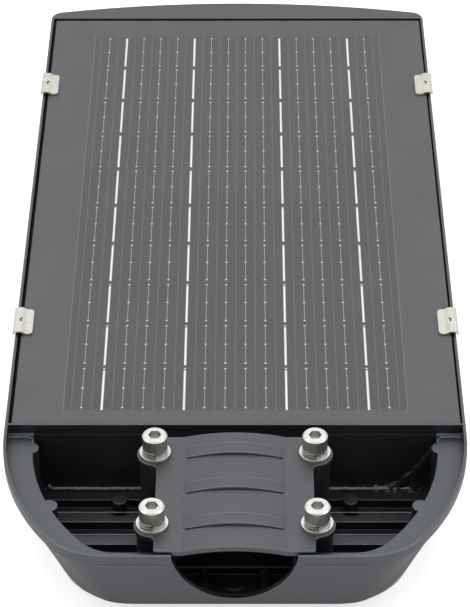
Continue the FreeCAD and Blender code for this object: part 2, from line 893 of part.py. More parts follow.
def stepped_dome(x, y, top_z, radius, drop, steps):
    # Shallow dome that hangs below top_z, turned from straight facets on an arc.
    ball_radius = (radius ** 2 + drop ** 2) / (2 * drop)
    centre_z = top_z - drop + ball_radius
    opening = math.asin(radius / ball_radius)
    profile = [V(x, y, top_z)]
    for step in range(steps + 1):
        angle = opening * (1 - step / (steps + 0.5))
        profile.append(V(x + ball_radius * math.sin(angle), y, centre_z - ball_radius * math.cos(angle)))
    profile.append(V(x, y, profile[-1].z))
    return polygon(profile).revolve(V(x, y, 0), V(0, 0, 1), 360)


def lens():
    half = window_half_width - window_clearance
    long = window_half_length - window_clearance
    corner = window_corner - window_clearance
    plate = rounded_block(half, window_y - long, window_y + long, corner, window_flange_z, window_gasket_z)
    root_z = window_flange_z + dome_land
    domes = [stepped_dome(x, y, root_z, dome_radius, dome_height, dome_steps) for x, y in lamp_places()]
    hole = small_radius + small_clearance
    holes = [post(x, y, 0, window_seat_z, hole) for x, y in window_screw_places()]
    return fuse([plate] + domes).cut(holes)


def window_ring(low, high):
    half = window_half_width - window_clearance
    long = window_half_length - window_clearance
    corner = window_corner - window_clearance
    outer = rounded_block(half, window_y - long, window_y + long, corner, low, high)
    half = window_half_width - window_ledge
    long = window_half_length - window_ledge
    corner = window_corner / 2
    inner = rounded_block(half, window_y - long, window_y + long, corner, low - overcut, high + overcut)
    hole = small_radius + small_clearance
    holes = [post(x, y, low - overcut, high + overcut, hole) for x, y in window_screw_places()]
    return outer.cut([inner] + holes)


def lamp_board():
    half = window_half_width - window_ledge - lamp_board_clearance
    long = window_half_length - window_ledge - lamp_board_clearance
    thickness = lamp_board_thickness
    return plain_board(half, window_y - long, window_y + long, lamp_board_z, thickness, lamp_screw_places())


def lamp_chips():
    half = chip_size / 2
    low = lamp_board_z - chip_height
    return [box(x - half, x + half, y - half, y + half, low, lamp_board_z) for x, y in lamp_places()]


def sensor_lens():
    top = sensor_recess_depth
    flange_z = top - sensor_flange
    flange = post(0, sensor_y, flange_z, top, sensor_flange_radius)
    room_z = flange_z + dome_land
    steps = sensor_dome_steps
    wall = sensor_dome_wall
    dome = stepped_dome(0, sensor_y, room_z, sensor_dome_radius, sensor_dome_drop, steps)
    room = stepped_dome(0, sensor_y, room_z, sensor_dome_radius - wall, sensor_dome_drop - wall, steps)
    throat = post(0, sensor_y, room_z, top + overcut, sensor_hole_radius)
    return fuse([flange, dome]).cut([room, throat])


def sensor_board():
    half = sensor_board_length / 2
    y0 = sensor_y - sensor_board_width / 2
    low = sensor_block_height
    places = sensor_screw_places()
    board = plain_board(half, y0, y0 + sensor_board_width, low, board_thickness, places)
    return fuse([board, post(0, sensor_y, low - sensor_can_depth, low + overcut, sensor_can_radius)])


def save(name, shape):
    solids = shape if isinstance(shape, list) else [shape]
    whole = solids[0] if len(solids) == 1 else Part.makeCompound(solids)
    whole.exportStep("parts/" + name + ".step")


def save_all():
    save("housing", housing())
    save("panel_glass", panel_block(0, glass_bottom_z, head_depth))
    save("solar_cells", cell_strips(cell_top_z))
    save("cell_ribbons", ribbons())
    save("panel_backsheet", backsheet())
    save("panel_seal", seal())
    save("junction_box", junction_box())
    for place, setback in zip(("near", "far"), clip_places):
        save("clip_" + place + "_left", clip(-1, setback))
        save("clip_" + place + "_right", clip(1, setback))
    save("pole_saddle", saddle())
    save("saddle_screws", [bolt(x, y) for x, y in bolt_places()])
    save("saddle_flat_washers", [flat_washer(x, y) for x, y in bolt_places()])
    save("saddle_spring_washers", [spring_washer(x, y) for x, y in bolt_places()])
    save("battery_pack", battery())
    save("battery_straps", [strap(-strap_half_spacing), strap(strap_half_spacing)])
    strap_seat_z = foot_z + strap_thickness
    save("battery_strap_screws", small_screws(strap_screw_places(), strap_seat_z, strap_screw_length, 1))
    half = board_length / 2
    board_far_y = board_y + board_width
    places = board_screw_places()
    board = plain_board(half, board_y, board_far_y, board_z, board_thickness, places)
    save("controller_board", board)
    save("controller_parts", controller_parts())
    save("controller_screws", small_screws(places, board_z + board_thickness, small_length, 1))
    save("lens_plate", lens())
    save("lens_gasket", window_ring(window_gasket_z, window_seat_z))
    save("lens_bezel", window_ring(lens_recess, window_flange_z))
    save("lens_bezel_screws", small_screws(window_screw_places(), lens_recess, bezel_screw_length, -1))
    save("lamp_board", lamp_board())
    save("lamp_chips", lamp_chips())
    save("lamp_board_screws", small_screws(lamp_screw_places(), lamp_board_z, lamp_screw_length, -1))
    save("sensor_lens", sensor_lens())
    save("sensor_board", sensor_board())
    seat_z = sensor_block_height + board_thickness
    save("sensor_board_screws", small_screws(sensor_screw_places(), seat_z, sensor_screw_length, 1))


os.makedirs("parts", exist_ok=True)
save_all()
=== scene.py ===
import logging
import math
from dataclasses import dataclass
from enum import Enum
from typing import Dict, List, Optional, Sequence, Tuple, Union

import bmesh
import bpy
from mathutils import Matrix, Vector, noise


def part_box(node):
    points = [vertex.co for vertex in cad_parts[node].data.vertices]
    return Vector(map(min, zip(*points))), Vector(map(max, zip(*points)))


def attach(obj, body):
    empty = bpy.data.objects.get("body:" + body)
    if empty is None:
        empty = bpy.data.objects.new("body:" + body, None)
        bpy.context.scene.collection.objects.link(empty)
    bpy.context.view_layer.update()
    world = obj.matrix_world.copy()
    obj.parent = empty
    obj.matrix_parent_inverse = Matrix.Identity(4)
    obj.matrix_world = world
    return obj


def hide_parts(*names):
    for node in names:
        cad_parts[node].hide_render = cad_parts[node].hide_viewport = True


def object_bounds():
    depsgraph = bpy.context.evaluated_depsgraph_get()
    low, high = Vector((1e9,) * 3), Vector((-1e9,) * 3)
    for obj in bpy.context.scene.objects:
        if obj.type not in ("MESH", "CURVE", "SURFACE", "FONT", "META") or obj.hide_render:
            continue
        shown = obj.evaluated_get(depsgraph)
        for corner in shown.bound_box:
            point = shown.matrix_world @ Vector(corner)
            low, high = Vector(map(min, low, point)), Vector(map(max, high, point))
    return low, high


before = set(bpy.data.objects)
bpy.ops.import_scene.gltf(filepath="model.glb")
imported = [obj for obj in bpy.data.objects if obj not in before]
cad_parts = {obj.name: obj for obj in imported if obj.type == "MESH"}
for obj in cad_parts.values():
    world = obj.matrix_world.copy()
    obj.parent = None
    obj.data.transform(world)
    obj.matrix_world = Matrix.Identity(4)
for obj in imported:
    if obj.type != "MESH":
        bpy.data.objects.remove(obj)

CAD_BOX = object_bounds()
LOG = logging.getLogger("light_head")
MM = 0.001

# Rays with which a surface feels for nearby walls and edges, the range of openness it may find, the gloss of a coat in
# the open, which painted shade lowers in hollows, and how strongly an edge stands out as a painted highlight.
SHADING_RAYS = 6
HOLLOW_TO_OPEN = (0.35, 0.8)
OPEN_GLOSS = 0.5
EDGE_CONTRAST = 12.0

# Length of a bead's lumps as a share of its radius, how near two points are one, and the angle of a sharp edge.
LUMP_SHARE = 1.6
WELD_REACH = 0.001 * MM
SHARP_DEGREES = 40.0

Colour = Tuple[float, ...]
Triple = Tuple[float, float, float]
Pair = Tuple[float, float]


def grey(value: float, warmth: float = 0.0) -> Colour:
    """Makes a near-neutral colour.

    Args:
        value: Linear brightness, 0 to 1.
        warmth: Share by which red rises and blue falls.

    Returns:
        The colour with full opacity.
    """
    return (value * (1 + warmth), value, value * (1 - warmth), 1.0)


def shade(colour: Colour, share: float) -> Colour:
    """Makes a darker or paler shade of a colour.

    Args:
        colour: The colour.
        share: The shade's brightness, as a share of the colour's.

    Returns:
        The shade with full opacity.
    """
    return tuple(min(1.0, part * share) for part in colour[:3]) + (1.0,)


def emptied(owner: Union[bpy.types.Material, bpy.types.World]) -> bpy.types.NodeTree:
    """Turns on the nodes of a material or world and removes those it starts with.

    Args:
        owner: The material or world.

    Returns:
        Its empty node tree.
    """
    owner.use_nodes = True
    owner.node_tree.nodes.clear()
    return owner.node_tree


def put_in_scene(name: str, data: bpy.types.ID) -> bpy.types.Object:
    """Makes an object at the origin and links it into the scene.

    Args:
        name: The object's name.
        data: Its mesh, light or camera.

    Returns:
        The object.
    """
    made = bpy.data.objects.new(name, data)
    bpy.context.scene.collection.objects.link(made)
    return made


def mount(piece: bpy.types.Object) -> None:
    """Lets a finished piece ride on the head.

    Args:
        piece: The piece.
    """
    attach(piece, "root")
    LOG.info("made %s, %d faces", piece.name, len(piece.data.polygons))


class Graph:
    """A node tree with short calls that add nodes and join them."""

    def __init__(self, tree: bpy.types.NodeTree) -> None:
        """Wraps a tree.

        Args:
            tree: The shader or geometry tree to fill.
        """
        self.tree = tree

    def feed(self, value: object, socket: bpy.types.NodeSocket) -> None:
        """Gives an input its value.

        Args:
            value: An output to link, a node whose first output is linked, or a constant to set.
            socket: The input.
        """
        if isinstance(value, bpy.types.Node):
            value = value.outputs[0]
        if isinstance(value, bpy.types.NodeSocket):
            self.tree.links.new(value, socket)
        else:
            socket.default_value = value

    def add(self, kind: str, inputs: Optional[Dict[object, object]] = None, **settings: object) -> bpy.types.Node:
        """Adds a node.

        Args:
            kind: The node's type name.
            inputs: What its inputs are fed, by their name or number.
            **settings: Properties set on the new node.

        Returns:
            The new node.
        """
        node = self.tree.nodes.new(kind)
        for name, value in settings.items():
            setattr(node, name, value)
        for key, value in (inputs or {}).items():
            self.feed(value, node.inputs[key])
        return node

    def math(self, operation: str, first: object, second: object = 0.0) -> bpy.types.NodeSocket:
        """Adds a Math node.

        Args:
            operation: The Math operation.
            first: A socket or a number.
            second: A socket or a number.

        Returns:
            The node's output.
        """
        return self.add("ShaderNodeMath", {0: first, 1: second}, operation=operation).outputs[0]

    def spread(self, source: bpy.types.NodeSocket, to: Pair, start: Pair = (0.0, 1.0)) -> bpy.types.NodeSocket:
        """Maps a value from one range onto another.

        Args:
            source: The value to map.
            to: The range of the result.
            start: The range of the value.

        Returns:
            The mapped value.
        """
        ends = {"From Min": start[0], "From Max": start[1], "To Min": to[0], "To Max": to[1]}
        return self.add("ShaderNodeMapRange", {"Value": source, **ends}).outputs["Result"]

    def mix(self, factor: object, first: object, second: object) -> bpy.types.NodeSocket:
        """Mixes two colours.

        Args:
            factor: A socket or a number.
            first: Socket or colour at 0.
            second: Socket or colour at 1.

        Returns:
            The mixed colour.
        """
        return self.add("ShaderNodeMix", {0: factor, 6: first, 7: second}, data_type="RGBA").outputs[2]


@dataclass(frozen=True)
class Cloud:
    """A slow wander of a colour between a darker and a paler shade."""

    size_mm: float
    octaves: float
    shades: Pair
    stops: Pair = (0.3, 0.7)


class Surface(Graph):
    """A material's tree, with a Principled shader and Object coordinates ready."""

    def __init__(self, name: str) -> None:
        """Makes the material.

        Args:
            name: The material's name.
        """
        self.material = bpy.data.materials.new(name)
        super().__init__(emptied(self.material))
        self.shader = self.add("ShaderNodeBsdfPrincipled")
        self.add("ShaderNodeOutputMaterial", {"Surface": self.shader})
        self.place = self.add("ShaderNodeTexCoord").outputs["Object"]

    def set(self, **values: object) -> None:
        """Feeds the shader's own inputs, with _ for a space in their names."""
        for name, value in values.items():
            self.feed(value, self.shader.inputs[name.replace("_", " ")])

    def noise(self, grain_mm: float, detail: float = 3.0, roughness: float = 0.55) -> bpy.types.NodeSocket:
        """Adds noise with features of a real size.

        Args:
            grain_mm: Size of the largest features, in millimetres.
            detail: Octaves.
            roughness: Strength of the finer octaves.

        Returns:
            The noise value.
        """
        return self.add("ShaderNodeTexNoise", {
            "Vector": self.place, "Scale": 1 / (grain_mm * MM), "Detail": detail, "Roughness": roughness,
        }).outputs["Fac"]

    def clouded(self, colour: Colour, cloud: Cloud) -> bpy.types.NodeSocket:
        """Lets a colour wander.

        Args:
            colour: The colour.
            cloud: Size and strength of the wander.

        Returns:
            The wandering colour.
        """
        node = self.add("ShaderNodeValToRGB", {"Fac": self.noise(cloud.size_mm, cloud.octaves)})
        for element, stop, share in zip(node.color_ramp.elements, cloud.stops, cloud.shades):
            element.position = stop
            element.color = shade(colour, share)
        return node.outputs["Color"]

    def around(self, source: bpy.types.NodeSocket, middle: float, swing: Pair) -> bpy.types.NodeSocket:
        """Lets a number swing down and up from its middle with a source of 0 to 1."""
        return self.spread(source, (middle + swing[0], middle + swing[1]))

    def every(self, source: bpy.types.NodeSocket, pitch_mm: float, share: float) -> bpy.types.NodeSocket:
        """Marks a share of every pitch along a coordinate.

        Args:
            source: The coordinate.
            pitch_mm: Distance between marks, in millimetres.
            share: Share of the pitch that is marked.

        Returns:
            1 on a mark, else 0.
        """
        turns = self.math("MULTIPLY", source, 1 / (pitch_mm * MM))
        return self.math("LESS_THAN", self.math("PINGPONG", turns, 0.5), share / 2)

    def relief(self, height: bpy.types.NodeSocket, depth_mm: float, **under: object) -> bpy.types.NodeSocket:
        """Adds a bump.

        Args:
            height: The height, 0 to 1.
            depth_mm: Depth of the relief, in millimetres.
            **under: Normal, where it builds on another normal.

        Returns:
            The bumped normal.
        """
        return self.add("ShaderNodeBump", {"Distance": depth_mm * MM, "Height": height, **under}).outputs["Normal"]

    def openness(self, reach_mm: float) -> bpy.types.NodeSocket:
        """Measures how open a place lies.

        Args:
            reach_mm: How far walls count, in millimetres.

        Returns:
            0 deep in a hollow, 1 in the open.
        """
        node = self.add("ShaderNodeAmbientOcclusion", {"Distance": reach_mm * MM}, samples=SHADING_RAYS)
        return self.spread(node.outputs["AO"], (0.0, 1.0), HOLLOW_TO_OPEN)

    def levelness(self) -> bpy.types.NodeSocket:
        """Measures how level a face lies.

        Returns:
            1 on level faces, 0 on upright ones.
        """
        normal = self.add("ShaderNodeNewGeometry").outputs["Normal"]
        return self.math("ABSOLUTE", self.add("ShaderNodeSeparateXYZ", {0: normal}).outputs["Z"])

    def rounded(self, radius_mm: float) -> bpy.types.NodeSocket:
        """Rounds sharp edges in the shading, by a radius in millimetres, and returns the normal."""
        return self.add("ShaderNodeBevel", {"Radius": radius_mm * MM}, samples=SHADING_RAYS).outputs["Normal"]

    def edges(self, rounded: bpy.types.NodeSocket) -> bpy.types.NodeSocket:
        """Finds the edges that a rounded normal rounds.

        Args:
            rounded: The rounded normal.

        Returns:
            1 on an edge, 0 elsewhere.
        """
        flat = self.add("ShaderNodeNewGeometry").outputs["Normal"]
        dot = self.add("ShaderNodeVectorMath", {0: rounded, 1: flat}, operation="DOT_PRODUCT")
        mask = self.math("MULTIPLY", self.math("SUBTRACT", 1.0, dot.outputs["Value"]), EDGE_CONTRAST)
        return self.math("MINIMUM", mask, 1.0)


@dataclass(frozen=True)
class PowderCoat:
    """Fine satin powder coat over metal, with a painted highlight on its edges and, where its hollow gloss is lower,
    painted shade in hollows.
    """

    name: str
    tone: float
    warmth: float
    roughness: float
    refraction: float
    edge_mm: float
    grain_mm: float = 0.55
    relief_mm: float = 0.035
    edge_highlight_gain: float = 3.0
    edge_highlight_lift: float = 0.01
    speck_gain: float = 1.5
    speck_share: float = 0.25
    swing: Pair = (-0.06, 0.08)
    cloud: Cloud = Cloud(60.0, 4.0, (0.9, 1.1))
    tint: Colour = (0.9, 0.94, 1.0, 1.0)
    hollow_shade_mm: float = 45.0
    hollow_shade_gloss: float = 0.17

    def material(self) -> bpy.types.Material:
        """Builds the material.

        Returns:
            The coat.
        """
        surface = Surface(self.name)
        # Where the coat lies in a hollow its gloss drops: painted shade.
        gloss = OPEN_GLOSS
        if self.hollow_shade_gloss != OPEN_GLOSS:
            gloss = surface.spread(surface.openness(self.hollow_shade_mm), (self.hollow_shade_gloss, OPEN_GLOSS))
        colour = grey(self.tone, self.warmth)
        speck = surface.noise(self.grain_mm * 2, detail=2.0, roughness=0.7)
        body = surface.mix(surface.spread(speck, (0.0, self.speck_share)), surface.clouded(colour, self.cloud),
                           shade(colour, self.speck_gain))
        rounded = surface.rounded(self.edge_mm)
        # The edges take a paler colour: painted highlight.
        pale = grey(self.tone * self.edge_highlight_gain + self.edge_highlight_lift, self.warmth)
        grain = surface.noise(self.grain_mm, detail=2.0, roughness=0.6)
        surface.set(
            IOR=self.refraction, Specular_Tint=self.tint, Specular_IOR_Level=gloss,
            Base_Color=surface.mix(surface.edges(rounded), body, pale),
            Roughness=surface.around(speck, self.roughness, self.swing),
            Normal=surface.relief(grain, self.relief_mm, Normal=rounded))
        return surface.material


@dataclass(frozen=True)
class ClearSheet:
    """Low-glare glass, or clear or milky moulded plastic, over whatever lies under it."""

    name: str
    colour: Colour
    opacity: float
    roughness: float
    refraction: float = 1.58
    cloud: Cloud = Cloud(12.0, 2.0, (0.95, 1.0))
    stipple_mm: float = 1.5
    stipple_octaves: float = 2.0
    swing: Pair = (0.0, 0.06)
    relief_mm: float = 0.0

    def material(self) -> bpy.types.Material:
        """Builds the material.

        Returns:
            The sheet's material.
        """
        surface = Surface(self.name)
        stipple = surface.noise(self.stipple_mm, self.stipple_octaves)
        surface.set(
            Alpha=self.opacity, IOR=self.refraction, Base_Color=surface.clouded(self.colour, self.cloud),
            Roughness=surface.around(stipple, self.roughness, self.swing))
        if self.relief_mm:
            surface.set(Normal=surface.relief(stipple, self.relief_mm))
        return surface.material


@dataclass(frozen=True)
class CellFace:
    """Coated silicon with rows of tiny contact dots between its busbars."""

    name: str
    tone: float
    warmth: float
    busbar_pitch_mm: float
    roughness: float = 0.35
    cloud: Cloud = Cloud(45.0, 4.0, (0.92, 1.08))
    dot_pitch_mm: float = 2.2
    dot_share: float = 0.42
    line_share: float = 0.06
    dot_tone: float = 0.19

    def material(self) -> bpy.types.Material:
        """Builds the material.

        Returns:
            The cells' material.
        """
        surface = Surface(self.name)
        parts = surface.add("ShaderNodeSeparateXYZ", {0: surface.place}).outputs
        dots = surface.math("MULTIPLY", surface.every(parts["X"], self.busbar_pitch_mm, self.line_share),
                            surface.every(parts["Y"], self.dot_pitch_mm, self.dot_share))
        body = surface.clouded(grey(self.tone, self.warmth), self.cloud)
        surface.set(Roughness=self.roughness, Base_Color=surface.mix(dots, body, grey(self.dot_tone, self.warmth)))
        return surface.material


@dataclass(frozen=True)
class BareMetal:
    """Polished, satin or plated metal, with fine marks that break its reflections and painted shade on its upright
    faces.
    """

    name: str
    colour: Colour
    roughness: float
    mark_mm: float = 0.6
    relief_mm: float = 0.006
    edge_mm: float = 0.25
    metallic: float = 1.0
    flank_shade_share: float = 1.0
    swing: Pair = (-0.05, 0.1)
    cloud: Cloud = Cloud(6.0, 3.0, (0.86, 1.0), (0.3, 0.65))

    def material(self) -> bpy.types.Material:
        """Builds the material.

        Returns:
            The metal.
        """
        surface = Surface(self.name)
        marks = surface.noise(self.mark_mm, detail=4.0, roughness=0.7)
        body = surface.clouded(self.colour, self.cloud)
        # Upright faces take a darker colour than level ones: painted shade.
        shaded_flank = shade(self.colour, self.flank_shade_share)
        surface.set(
            Metallic=self.metallic, Base_Color=surface.mix(surface.levelness(), shaded_flank, body),
            Roughness=surface.around(marks, self.roughness, self.swing),
            Normal=surface.relief(marks, self.relief_mm, Normal=surface.rounded(self.edge_mm)))
        return surface.material


@dataclass(frozen=True)
class Moulded:
    """Plastic, rubber, film or lacquer with a fine moulded grain."""

    name: str
    colour: Colour
    roughness: float
    grain_mm: float = 0.8
    relief_mm: float = 0.02
    gloss: float = 0.5
    swing: Pair = (-0.05, 0.07)
    cloud: Cloud = Cloud(25.0, 3.0, (0.9, 1.1))

    def material(self) -> bpy.types.Material:
        """Builds the material.

        Returns:
            The moulding's material.
        """
        surface = Surface(self.name)
        grain = surface.noise(self.grain_mm, detail=2.0)
        surface.set(
            Specular_IOR_Level=self.gloss, Base_Color=surface.clouded(self.colour, self.cloud),
            Roughness=surface.around(grain, self.roughness, self.swing),
            Normal=surface.relief(grain, self.relief_mm))
        return surface.material


class Finish(Enum):
    """Every finish on the head."""

    CASTING = PowderCoat("casting_coat", 0.009, -0.15, 0.34, 1.95, 0.9, edge_highlight_gain=5.0)
    PRESSING = PowderCoat("pressing_coat", 0.007, -0.1, 0.36, 1.93, 1.6, edge_highlight_gain=4.0)
    SMEAR = PowderCoat("dried_sealant", 0.012, -0.12, 0.28, 1.8, 0.2, grain_mm=2.2, relief_mm=0.4, hollow_shade_gloss=0.3)
    # Rough cast fillets and edges, far paler than the coat: painted highlight.
    ROUGH_CAST_HIGHLIGHT = PowderCoat("rough_cast_highlight", 0.06, -0.1, 0.28, 1.9, 0.3, grain_mm=1.6, relief_mm=0.35,
                            hollow_shade_gloss=OPEN_GLOSS)
    GLASS = ClearSheet("panel_glass", grey(0.16, -0.04), 0.12, 0.3, 1.5,
                       Cloud(90.0, 3.0, (0.93, 1.07), (0.35, 0.65)), stipple_mm=1.1, stipple_octaves=1.0,
                       swing=(-0.04, 0.04), relief_mm=0.012)
    LENS = ClearSheet("clear_lens", (0.88, 0.9, 0.92, 1.0), 0.3, 0.06)
    SENSOR = ClearSheet("sensor_lens", (0.82, 0.82, 0.8, 1.0), 0.92, 0.35)
    CELL = CellFace("cell_face", 0.06, -0.01, 10.9)
    CLIP = BareMetal("clip_steel", (0.66, 0.64, 0.58, 1.0), 0.42, mark_mm=0.7, relief_mm=0.01)
    STAINLESS = BareMetal("stainless", (0.78, 0.77, 0.73, 1.0), 0.26, metallic=0.85, flank_shade_share=0.55)
    ZINC = BareMetal("zinc_plate", (0.62, 0.64, 0.66, 1.0), 0.35)
    RIBBON = Moulded("tinned_ribbon", (0.97, 0.95, 0.88, 1.0), 0.45, grain_mm=0.5, relief_mm=0.01)
    SILVER = Moulded("silver_print", (0.43, 0.43, 0.4, 1.0), 0.5, grain_mm=0.4, relief_mm=0.005)
    PAD = Moulded("solder_pad", (0.7, 0.69, 0.64, 1.0), 0.4, grain_mm=0.3, relief_mm=0.01)
    BACK_FILM = Moulded("back_film", grey(0.088, -0.04), 0.5)
    BORDER = Moulded("border_print", grey(0.2, -0.02), 0.5)
    RUBBER = Moulded("black_rubber", grey(0.02), 0.75)
    PLASTIC = Moulded("black_plastic", grey(0.02), 0.45)
    SLEEVE = Moulded("battery_sleeve", (0.02, 0.09, 0.3, 1.0), 0.4)
    CIRCUIT = Moulded("circuit_board", (0.02, 0.13, 0.05, 1.0), 0.4)
    WHITE_BOARD = Moulded("white_board", grey(0.78), 0.5)
    CHIP = Moulded("lamp_chip", (0.85, 0.62, 0.1, 1.0), 0.35)
    # Pale matt lines on crests and edges: painted highlight.
    HIGHLIGHT_LINE = Moulded("painted_highlight_line", grey(0.2, -0.04), 0.5)
    # Near-black, low-gloss lines in creases and slits: painted shade.
    SHADE_LINE = Moulded("painted_shade_line", grey(0.012, -0.1), 0.6, gloss=0.2)
    # Black sealant, kept near-black and glossless as painted shade of the gap beside the glass.
    SEALANT_GAP_SHADE = Moulded("sealant_gap_shade", grey(0.004, -0.1), 0.7, gloss=0.04)


class Wardrobe:
    """Builds each finish once and puts it on pieces."""

    def __init__(self) -> None:
        """Starts with nothing built."""
        self.made: Dict[Finish, bpy.types.Material] = {}

    def get(self, finish: Finish) -> bpy.types.Material:
        """Looks up a finish, and builds it on first use.

        Args:
            finish: The finish.

        Returns:
            Its material.
        """
        if finish not in self.made:
            self.made[finish] = finish.value.material()
        return self.made[finish]

    def dress(self, finish: Finish, *names: str) -> None:
        """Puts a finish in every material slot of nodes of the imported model.

        Args:
            finish: The finish to use.
            *names: The nodes' names.
        """
        for name in names:
            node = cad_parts[name]
            if not node.material_slots:
                node.data.materials.append(None)
            for slot in node.material_slots:
                slot.material = self.get(finish)
            LOG.info("dressed %s in %s", name, finish.value.name)


class Repeater:
    """A geometry tree that repeats one small bar over a grid, then bakes it to a mesh."""

    def __init__(self, name: str, material: bpy.types.Material) -> None:
        """Builds the tree.

        Args:
            name: Name of the tree and of the baked piece.
            material: Material set on the result.
        """
        self.name = name
        self.tree = bpy.data.node_groups.new(name, "GeometryNodeTree")
        self.graph = Graph(self.tree)
        self.sockets: Dict[str, str] = {}
        for label, kind, value in self.inputs():
            socket = self.tree.interface.new_socket(label, in_out="INPUT", socket_type="NodeSocket" + kind)
            socket.default_value = value
            self.sockets[label] = socket.identifier
        self.tree.interface.new_socket("Geometry", in_out="OUTPUT", socket_type="NodeSocketGeometry")
        self.source = self.graph.add("NodeGroupInput").outputs
        realize = self.graph.add("GeometryNodeRealizeInstances", {0: self.build()})
        paint = self.graph.add("GeometryNodeSetMaterial", {"Geometry": realize, "Material": material})
        self.graph.add("NodeGroupOutput", {0: paint})

    @staticmethod
    def inputs() -> List[Tuple[str, str, object]]:
        """Lists the tree's inputs.

        Returns:
            Label, type and default of each.
        """
        return [
            ("Columns", "Int", 2), ("Rows", "Int", 2), ("Marks", "Int", 1),
            ("Column Pitch", "Float", 0.01), ("Row Pitch", "Float", 0.01), ("Mark Pitch", "Float", 0.01),
            ("Centre", "Vector", (0.0, 0.0, 0.0)), ("Size", "Vector", (MM, MM, MM)),
        ]

    def span(self, count: str, pitch: str) -> bpy.types.NodeSocket:
        """Works out the length from the first to the last of a row."""
        return self.graph.math("MULTIPLY", self.graph.math("SUBTRACT", self.source[count], 1.0), self.source[pitch])

    def build(self) -> bpy.types.NodeSocket:
        """Lays the bar over rows, columns and marks along each row.

        Returns:
            The laid instances.
        """
        add, source = self.graph.add, self.source
        grid = add("GeometryNodeMeshGrid", {
            "Size X": self.span("Columns", "Column Pitch"), "Size Y": self.span("Rows", "Row Pitch"),
            "Vertices X": source["Columns"], "Vertices Y": source["Rows"]})
        places = add("GeometryNodeTransform", {"Geometry": grid, "Translation": source["Centre"]})
        start = add("ShaderNodeCombineXYZ", {"Y": self.graph.math("MULTIPLY", self.span("Marks", "Mark Pitch"), -0.5)})
        step = add("ShaderNodeCombineXYZ", {"Y": source["Mark Pitch"]})
        marks = add("GeometryNodeMeshLine", {
            "Count": source["Marks"], "Start Location": start, "Offset": step}, mode="OFFSET")
        bar = add("GeometryNodeMeshCube", {"Size": source["Size"]})
        row = add("GeometryNodeInstanceOnPoints", {"Points": marks, "Instance": bar})
        return add("GeometryNodeInstanceOnPoints", {"Points": places, "Instance": row}).outputs[0]

    def bake(self, **values: object) -> bpy.types.Object:
        """Runs the tree and turns its result into a plain piece.

        Args:
            **values: Input values, with _ for a space in their labels.

        Returns:
            The baked piece, at the origin.
        """
        carrier = put_in_scene(self.name + "_carrier", bpy.data.meshes.new(self.name + "_carrier"))
        modifier = carrier.modifiers.new(self.name, "NODES")
        modifier.node_group = self.tree
        for label, value in values.items():
            modifier[self.sockets[label.replace("_", " ")]] = value
        mesh = bpy.data.meshes.new_from_object(carrier.evaluated_get(bpy.context.evaluated_depsgraph_get()))
        mesh.name = self.name
        carrier.modifiers.remove(modifier)
        bpy.data.objects.remove(carrier)
        return put_in_scene(self.name, mesh)


@dataclass(frozen=True)
class Bead:
    """An uneven round bead: its mean radius, the share by which that wanders, and the rings it is made of."""

    radius: float
    wander: float
    ring_step: float
    ring_points: int = 6


